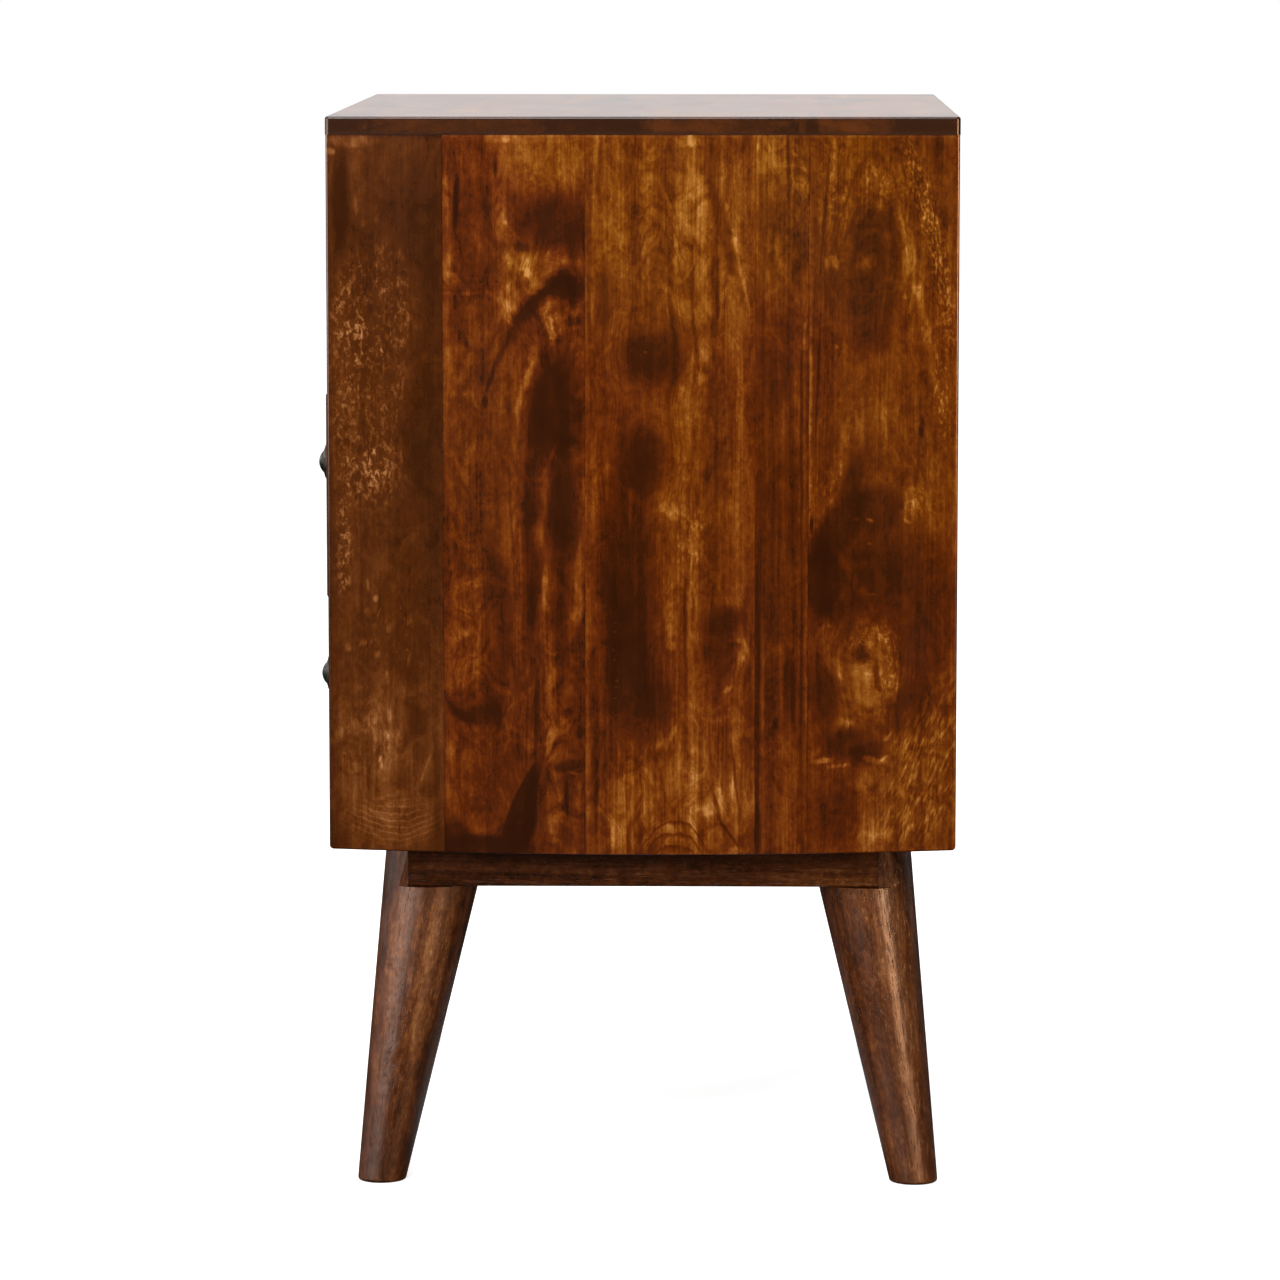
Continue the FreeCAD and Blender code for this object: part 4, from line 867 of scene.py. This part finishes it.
# darker ends of the top's edge band, over the right side
topMarks = {
    "top_stave_1": [(-159, 225, 11, 20, 0, 0.2, 0.5, -0.3)],
    "top_stave_2": [(-26, 225, 22, 20, 0, 0.3, 0.6, -0.2)],
    "top_stave_3": [(92, 225, 14, 20, 0, 0.3, 0.6, -0.2)],
    "top_stave_4": [(166, 225, 16, 20, 0, 0.2, 0.5, -0.34)],
}
topLook = {
    "stain": goldStain, "gloss": 0.245, "unevenness": 0.03, "coat": 0.1, "bump": 0.04, "bands": 0.2,
    "streaks": 0.12, "clouds": 0.16, "curl": 0.1, "fibre": 0.06, "speckle": 0.06, "mottle": 0.0,
    "endGrain": -0.26, "seam": -0.05,
}
dressBoards(topStaves, "level board", seed=60, box=jointBox(topStaves), marks=topMarks, **topLook)
dressBoards(["bottom_board", "divider_board", "niche_floor_board"], "level board", seed=80, patches=3)
dressBoards(["upper_drawer_front", "lower_drawer_front"], "front", seed=90, patches=7)
print("case boards dressed")


# Stand: turned legs and rails, a duller brown with a rubbed, open-grained surface
standStain = [
    (0.0, (34, 12, 0)), (0.2, (54, 21, 0)), (0.4, (78, 35, 5)), (0.58, (103, 54, 16)),
    (0.75, (130, 80, 38)), (1.0, (172, 124, 78)),
]
standLook = {
    "stain": standStain, "level": -0.06, "gloss": 0.31, "unevenness": 0.2, "coat": 0.0, "bump": 1.0,
    "streaks": 0.38, "bands": 0.26, "clouds": 0.35, "curl": 0.3, "fibre": 0.16, "mottle": 0.1,
    "ringPitch": 5, "edgeWidth": 2,
}
legNames = [f"{end}_{side}_leg" for end in ("front", "rear") for side in ("right", "left")]
railGrains = {
    "front_rail": "front", "rear_rail": "front", "right_rail": "front to back",
    "left_rail": "front to back",
}
legSpread = 31.6 * mm
legLook = {
    **standLook, "edgeChange": 0.0,
    # painted shade of the case over the leg tops, beside the rails
    "spots": ((0, 150, 200, 38, 0, 0.1, 0.25, -0.28),),
    # pale scratches along the leg and across it
    "flecked": ((0, 90, 150, 110, 0, 0.1, 0.3, 0, 10, 0.9, 0.57, 0.32),
                (0, 90, 150, 110, 0, 0.1, 0.3, 75, 4, 0.8, 0.66, 0.3)),
}
railLook = {
    **standLook, "level": -0.14, "gloss": 0.2, "unevenness": 0.08,
    # painted shadow of the case along the rails' upper part, just under the case
    "spots": ((189, 10, 10, 260, 0, 0.1, 0.6, -0.3),),
}


def legDirections(name):
    # the grain follows the leg from the middle of its foot towards the middle of the case
    high = Vector(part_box(name)[1])
    outward = Vector((1 if high.x > 0 else -1, 1 if high.y > 0 else -1, 0))
    lean = legSpread * outward
    along = (Vector((0, 0, high.z)) - lean).normalized()
    across = Vector((0, 1, 0)).cross(along).normalized()
    return tuple(tuple(axis) for axis in (across, along.cross(across), along))


for number, name in enumerate(legNames):
    dress(name, grain=legDirections(name), seed=101.0 + number, **legLook)
for number, (name, grain) in enumerate(railGrains.items()):
    dress(name, grain=grain, seed=111.0 + number, **railLook)
print("stand dressed")


# Drawer boxes and stops: paler, thinly sealed rubberwood
drawerStain = [
    (0.0, (78, 52, 32)), (0.3, (134, 98, 62)), (0.5, (163, 124, 82)), (0.7, (184, 146, 100)),
    (1.0, (208, 176, 130)),
]
plywoodStain = [
    (0.0, (52, 28, 14)), (0.3, (84, 48, 24)), (0.5, (104, 62, 33)), (0.7, (122, 76, 42)),
    (1.0, (150, 102, 62)),
]
pegStain = [(0.0, (120, 84, 52)), (0.4, (170, 130, 88)), (0.7, (192, 154, 108)), (1.0, (212, 180, 138))]
plainLook = {"gloss": 0.5, "clouds": 0.2, "curl": 0.12, "bands": 0.35, "streaks": 0.35, "endGrain": -0.12}
drawerParts = {
    "right_side": {"grain": "front to back", "seed": 131.0},
    "left_side": {"grain": "front to back", "seed": 132.0},
    "back": {"grain": "front", "seed": 135.0},
    "bottom": {"grain": "front to back", "seed": 137.0, "level": -0.06, "prefix": "plywood"},
    "stops": {"grain": "front", "seed": 139.0},
}
backArches = ((20, 330, 60, 150, 0, 0.2, 0.5, 10, 420, 0.02, 30, -0.2),)

for drawer in ("upper_drawer", "lower_drawer"):
    for part, look in drawerParts.items():
        dress(f"{drawer}_{part}", **{"prefix": "sealed", "stain": drawerStain, **look, **plainLook})
dress("back_panel", prefix="plywood", grain="upright back", stain=plywoodStain, seed=141.0,
      arches=backArches, **plainLook)
pegs = woodMaterial("turned beech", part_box("top_dowels"), grain="upright side", stain=pegStain, seed=151.0,
                    gloss=0.6, edgeChange=0.0, endGrain=-0.1, bands=0.2, clouds=0.1)
for name in nodes:
    if name.endswith("_dowels"):
        finish(name, pegs)


# Metal: "rough" is its roughness where the patina is thin and where it is thick
metals = {
    "bronze": {"dark": (54, 56, 51), "worn": (112, 114, 106), "rough": (0.3, 0.55), "patina": 160.0,
               "bump": 0.12},
    "steel": {"dark": (120, 116, 108), "worn": (186, 184, 178), "rough": (0.28, 0.5), "patina": 400.0,
              "bump": 0.1},
}
metalDetail = {
    "patches": {"Detail": 5.0, "Roughness": 0.65, "Distortion": 0.6}, "patinaRange": (0.35, 0.68),
    "lines": {"Detail": 3.0, "Roughness": 0.7}, "lineStretch": (0.25, 3.0, 1.0),
    "scratchRange": (0.6, 0.75), "scratchShare": 0.35, "lineRelief": 0.4, "reliefDepth": 0.1,
}


def buildMetalAge():
    # fine turned lines and scratches, with a patina that gathers in patches
    tree, given, out = startGroup("metalAge", {
        "Point": origin, "Patina Scale": 120.0, "Scratch Scale": 900.0,
    }, {"Patina": "Float", "Scratch": "Float", "Height": "Float"})
    inputs = {"Vector": given["Point"], "Scale": given["Patina Scale"], **metalDetail["patches"]}
    patches = addNode(tree, "TexNoise", inputs).outputs["Fac"]
    feed(tree, out["Patina"], ramp(tree, patches, *metalDetail["patinaRange"]))
    stretched = calcVector(tree, "MULTIPLY", given["Point"], metalDetail["lineStretch"])
    inputs = {"Vector": stretched, "Scale": given["Scratch Scale"], **metalDetail["lines"]}
    lines = addNode(tree, "TexNoise", inputs).outputs["Fac"]
    feed(tree, out["Scratch"], ramp(tree, lines, *metalDetail["scratchRange"]))
    feed(tree, out["Height"], addShare(tree, lines, metalDetail["lineRelief"], patches))
    return tree


def metalMaterial(name, metal, names):
    look = metals[metal]
    material, tree, shader = newMaterial(name)
    place = addNode(tree, "TexCoord").outputs["Object"]
    age = useGroup(tree, metalAge, {"Point": place, "Patina Scale": look["patina"]})
    dark, worn = plainColour(*look["dark"]), plainColour(*look["worn"])
    colour = mixColour(tree, age["Patina"], dark, worn)
    colour = mixColour(tree, times(tree, age["Scratch"], metalDetail["scratchShare"]), colour, worn)
    feed(tree, shader.inputs["Base Color"], colour)
    feed(tree, shader.inputs["Roughness"], ramp(tree, age["Patina"], 1.0, 0.0, *look["rough"]))
    shader.inputs["Metallic"].default_value = 1.0
    depth = metalDetail["reliefDepth"] * mm
    bump = addNode(tree, "Bump", {"Height": age["Height"], "Strength": look["bump"], "Distance": depth})
    feed(tree, shader.inputs["Normal"], bump.outputs["Normal"])
    for node in names:
        finish(node, material)


metalAge = buildMetalAge()
fastenerNames = [name for name in nodes if "screw" in name or name.endswith("_nails")]
metalMaterial("dark bronze", "bronze", ["upper_knob", "lower_knob"])
metalMaterial("plated steel", "steel", fastenerNames)
print("drawer boxes and fittings dressed")


# Stage: white floor and surroundings
stage = {
    "ambient": 0.6, "floorHalf": 8.0, "floorDrop": 0.0002, "floorGlow": 0.72, "floorColour": 0.72,
    "bounceColour": 0.36, "mirroredColour": 0.01, "sheenRadius": 0.25,
    "darkSide": (0.9, 0.4, 0.1), "darkSpread": (-0.3, -0.02), "darkLevel": 0.006,
}
white = (1.0, 1.0, 1.0)
# Lamps round the object: turn is from +X towards +Y, in degrees, distance and height are in metres
lamps = {
    "keyLamp": {"turn": -14, "distance": 1.635, "height": 1.772, "aim": 0.3, "size": (1.1, 1.1),
                "watts": 35},
    "backStrip": {"turn": 34, "distance": 2.4, "height": 0.69, "aim": 0.4, "size": (0.64, 0.9), "watts": 50,
                  "colour": (1.0, 0.56, 0.3), "sheenOnly": True},
    "frontStrip": {"turn": -47, "distance": 2.4, "height": 0.69, "aim": 0.4, "size": (2.0, 0.9),
                   "watts": 36, "colour": (1.0, 0.84, 0.72), "sheenOnly": True},
    "topLamp": {"turn": 180, "distance": 0.3, "height": 2.5, "aim": 0.6, "size": (1.2, 1.2), "watts": 20},
    "lowFill": {"turn": -24, "distance": 2.4, "height": 0.5, "aim": 0.4, "size": (1.2, 0.8), "watts": 13,
                "mirrored": False},
    "frontFill": {"turn": -80, "distance": 2.3, "height": 0.6, "aim": 0.35, "size": (1.0, 1.4), "watts": 12,
                  "mirrored": False},
    "backFill": {"turn": 150, "distance": 2.5, "height": 1.6, "aim": 0.35, "size": (1.0, 1.0), "watts": 14,
                 "mirrored": False},
}


def buildFloor():
    mesh = bpy.data.meshes.new("floor")
    half = stage["floorHalf"]
    corners = [(-half, -half, 0), (half, -half, 0), (half, half, 0), (-half, half, 0)]
    mesh.from_pydata(corners, [], [(0, 1, 2, 3)])
    floor = bpy.data.objects.new("floor", mesh)
    bpy.context.collection.objects.link(floor)
    floor.location.z = -stage["floorDrop"]
    material = bpy.data.materials.new("floor")
    material.use_nodes = True
    tree = material.node_tree
    tree.nodes.clear()

    def grey(key):
        return (stage[key],) * 3 + (1.0,)

    plain = addNode(tree, "BsdfDiffuse", {"Color": grey("floorColour")})
    glow = addNode(tree, "Emission", {"Color": (*white, 1.0), "Strength": stage["floorGlow"]})
    bright = addNode(tree, "AddShader", {0: plain.outputs[0], 1: glow.outputs[0]})
    # the pale sweep ends a little way from the object, so the sides of the case mirror the dark room
    away = calcVector(tree, "LENGTH", addNode(tree, "TexCoord").outputs["Object"])
    sheen = ramp(tree, away, stage["sheenRadius"], 0.5 * stage["sheenRadius"])
    sight = addNode(tree, "LightPath").outputs
    mirrored = times(tree, sight["Is Glossy Ray"], minus(tree, 1.0, sheen))
    lit = mixColour(tree, mirrored, grey("bounceColour"), grey("mirroredColour"))
    under = addNode(tree, "BsdfDiffuse", {"Color": lit})
    seen = calc(tree, "MAXIMUM", sight["Is Camera Ray"], sight["Is Transmission Ray"])
    surface = addNode(tree, "MixShader", {0: seen, 1: under.outputs[0], 2: bright.outputs[0]})
    tree.links.new(surface.outputs[0], addNode(tree, "OutputMaterial").inputs["Surface"])
    mesh.materials.append(material)


def buildWorld():
    world = bpy.data.worlds.new("studio")
    bpy.context.scene.world = world
    world.use_nodes = True
    tree = world.node_tree
    tree.nodes.clear()

    def background(strength):
        return addNode(tree, "Background", {"Color": (*white, 1.0), "Strength": strength}).outputs[0]

    # glossy rays see the white background too, but for the unlit end of the room behind the camera
    direction = addNode(tree, "TexCoord").outputs["Generated"]
    darkSide = Vector(stage["darkSide"]).normalized()
    facing = addNode(tree, "VectorMath", {0: direction, 1: darkSide}, operation="DOT_PRODUCT")
    backdrop = ramp(tree, facing.outputs["Value"], stage["darkSpread"][1], stage["darkSpread"][0])
    sight = addNode(tree, "LightPath").outputs
    mirrored = times(tree, sight["Is Glossy Ray"], backdrop)
    seen = calc(tree, "MAXIMUM", sight["Is Camera Ray"], mirrored)
    seen = calc(tree, "MAXIMUM", seen, sight["Is Transmission Ray"])
    unseen = addNode(tree, "MixShader", {
        0: sight["Is Glossy Ray"], 1: background(stage["ambient"]), 2: background(stage["darkLevel"]),
    })
    mixed = addNode(tree, "MixShader", {0: seen, 1: unseen.outputs[0], 2: background(1.0)})
    tree.links.new(mixed.outputs[0], addNode(tree, "OutputWorld").inputs["Surface"])


def addLamp(name, look):
    lamp = bpy.data.lights.new(name, "AREA")
    lamp.shape = "RECTANGLE"
    lamp.size, lamp.size_y = look["size"]
    lamp.energy = look["watts"]
    lamp.color = look.get("colour", white)
    holder = bpy.data.objects.new(name, lamp)
    bpy.context.collection.objects.link(holder)
    turn = math.radians(look["turn"])
    holder.location = (look["distance"] * math.cos(turn), look["distance"] * math.sin(turn), look["height"])
    aim = Vector((0.0, 0.0, look["aim"])) - holder.location
    holder.rotation_euler = aim.to_track_quat("-Z", "Y").to_euler()
    holder.visible_glossy = look.get("mirrored", True)
    holder.visible_diffuse = not look.get("sheenOnly", False)


buildFloor()
buildWorld()
for name, look in lamps.items():
    addLamp(name, look)
print("stage set")


# Camera: where the photograph was taken from
view = {
    "place": (3.4537, 0.0668, 0.7006), "yaw": -1.026, "pitch": 6.903,
    "focalPixels": 5844, "framePixels": 1280, "sensor": 36.0, "clipEnd": 100.0,
}


def buildCamera():
    yaw, pitch = math.radians(view["yaw"]), math.radians(view["pitch"])
    aim = Vector((-math.cos(yaw) * math.cos(pitch), math.sin(yaw) * math.cos(pitch), -math.sin(pitch)))
    data = bpy.data.cameras.new("camera")
    data.sensor_width = view["sensor"]
    data.lens = view["sensor"] * view["focalPixels"] / view["framePixels"]
    data.clip_end = view["clipEnd"]
    camera = bpy.data.objects.new("camera", data)
    bpy.context.collection.objects.link(camera)
    camera.location = view["place"]
    camera.rotation_euler = aim.to_track_quat("-Z", "Y").to_euler()
    bpy.context.scene.camera = camera


buildCamera()
bpy.context.scene.view_settings.view_transform = "Standard"
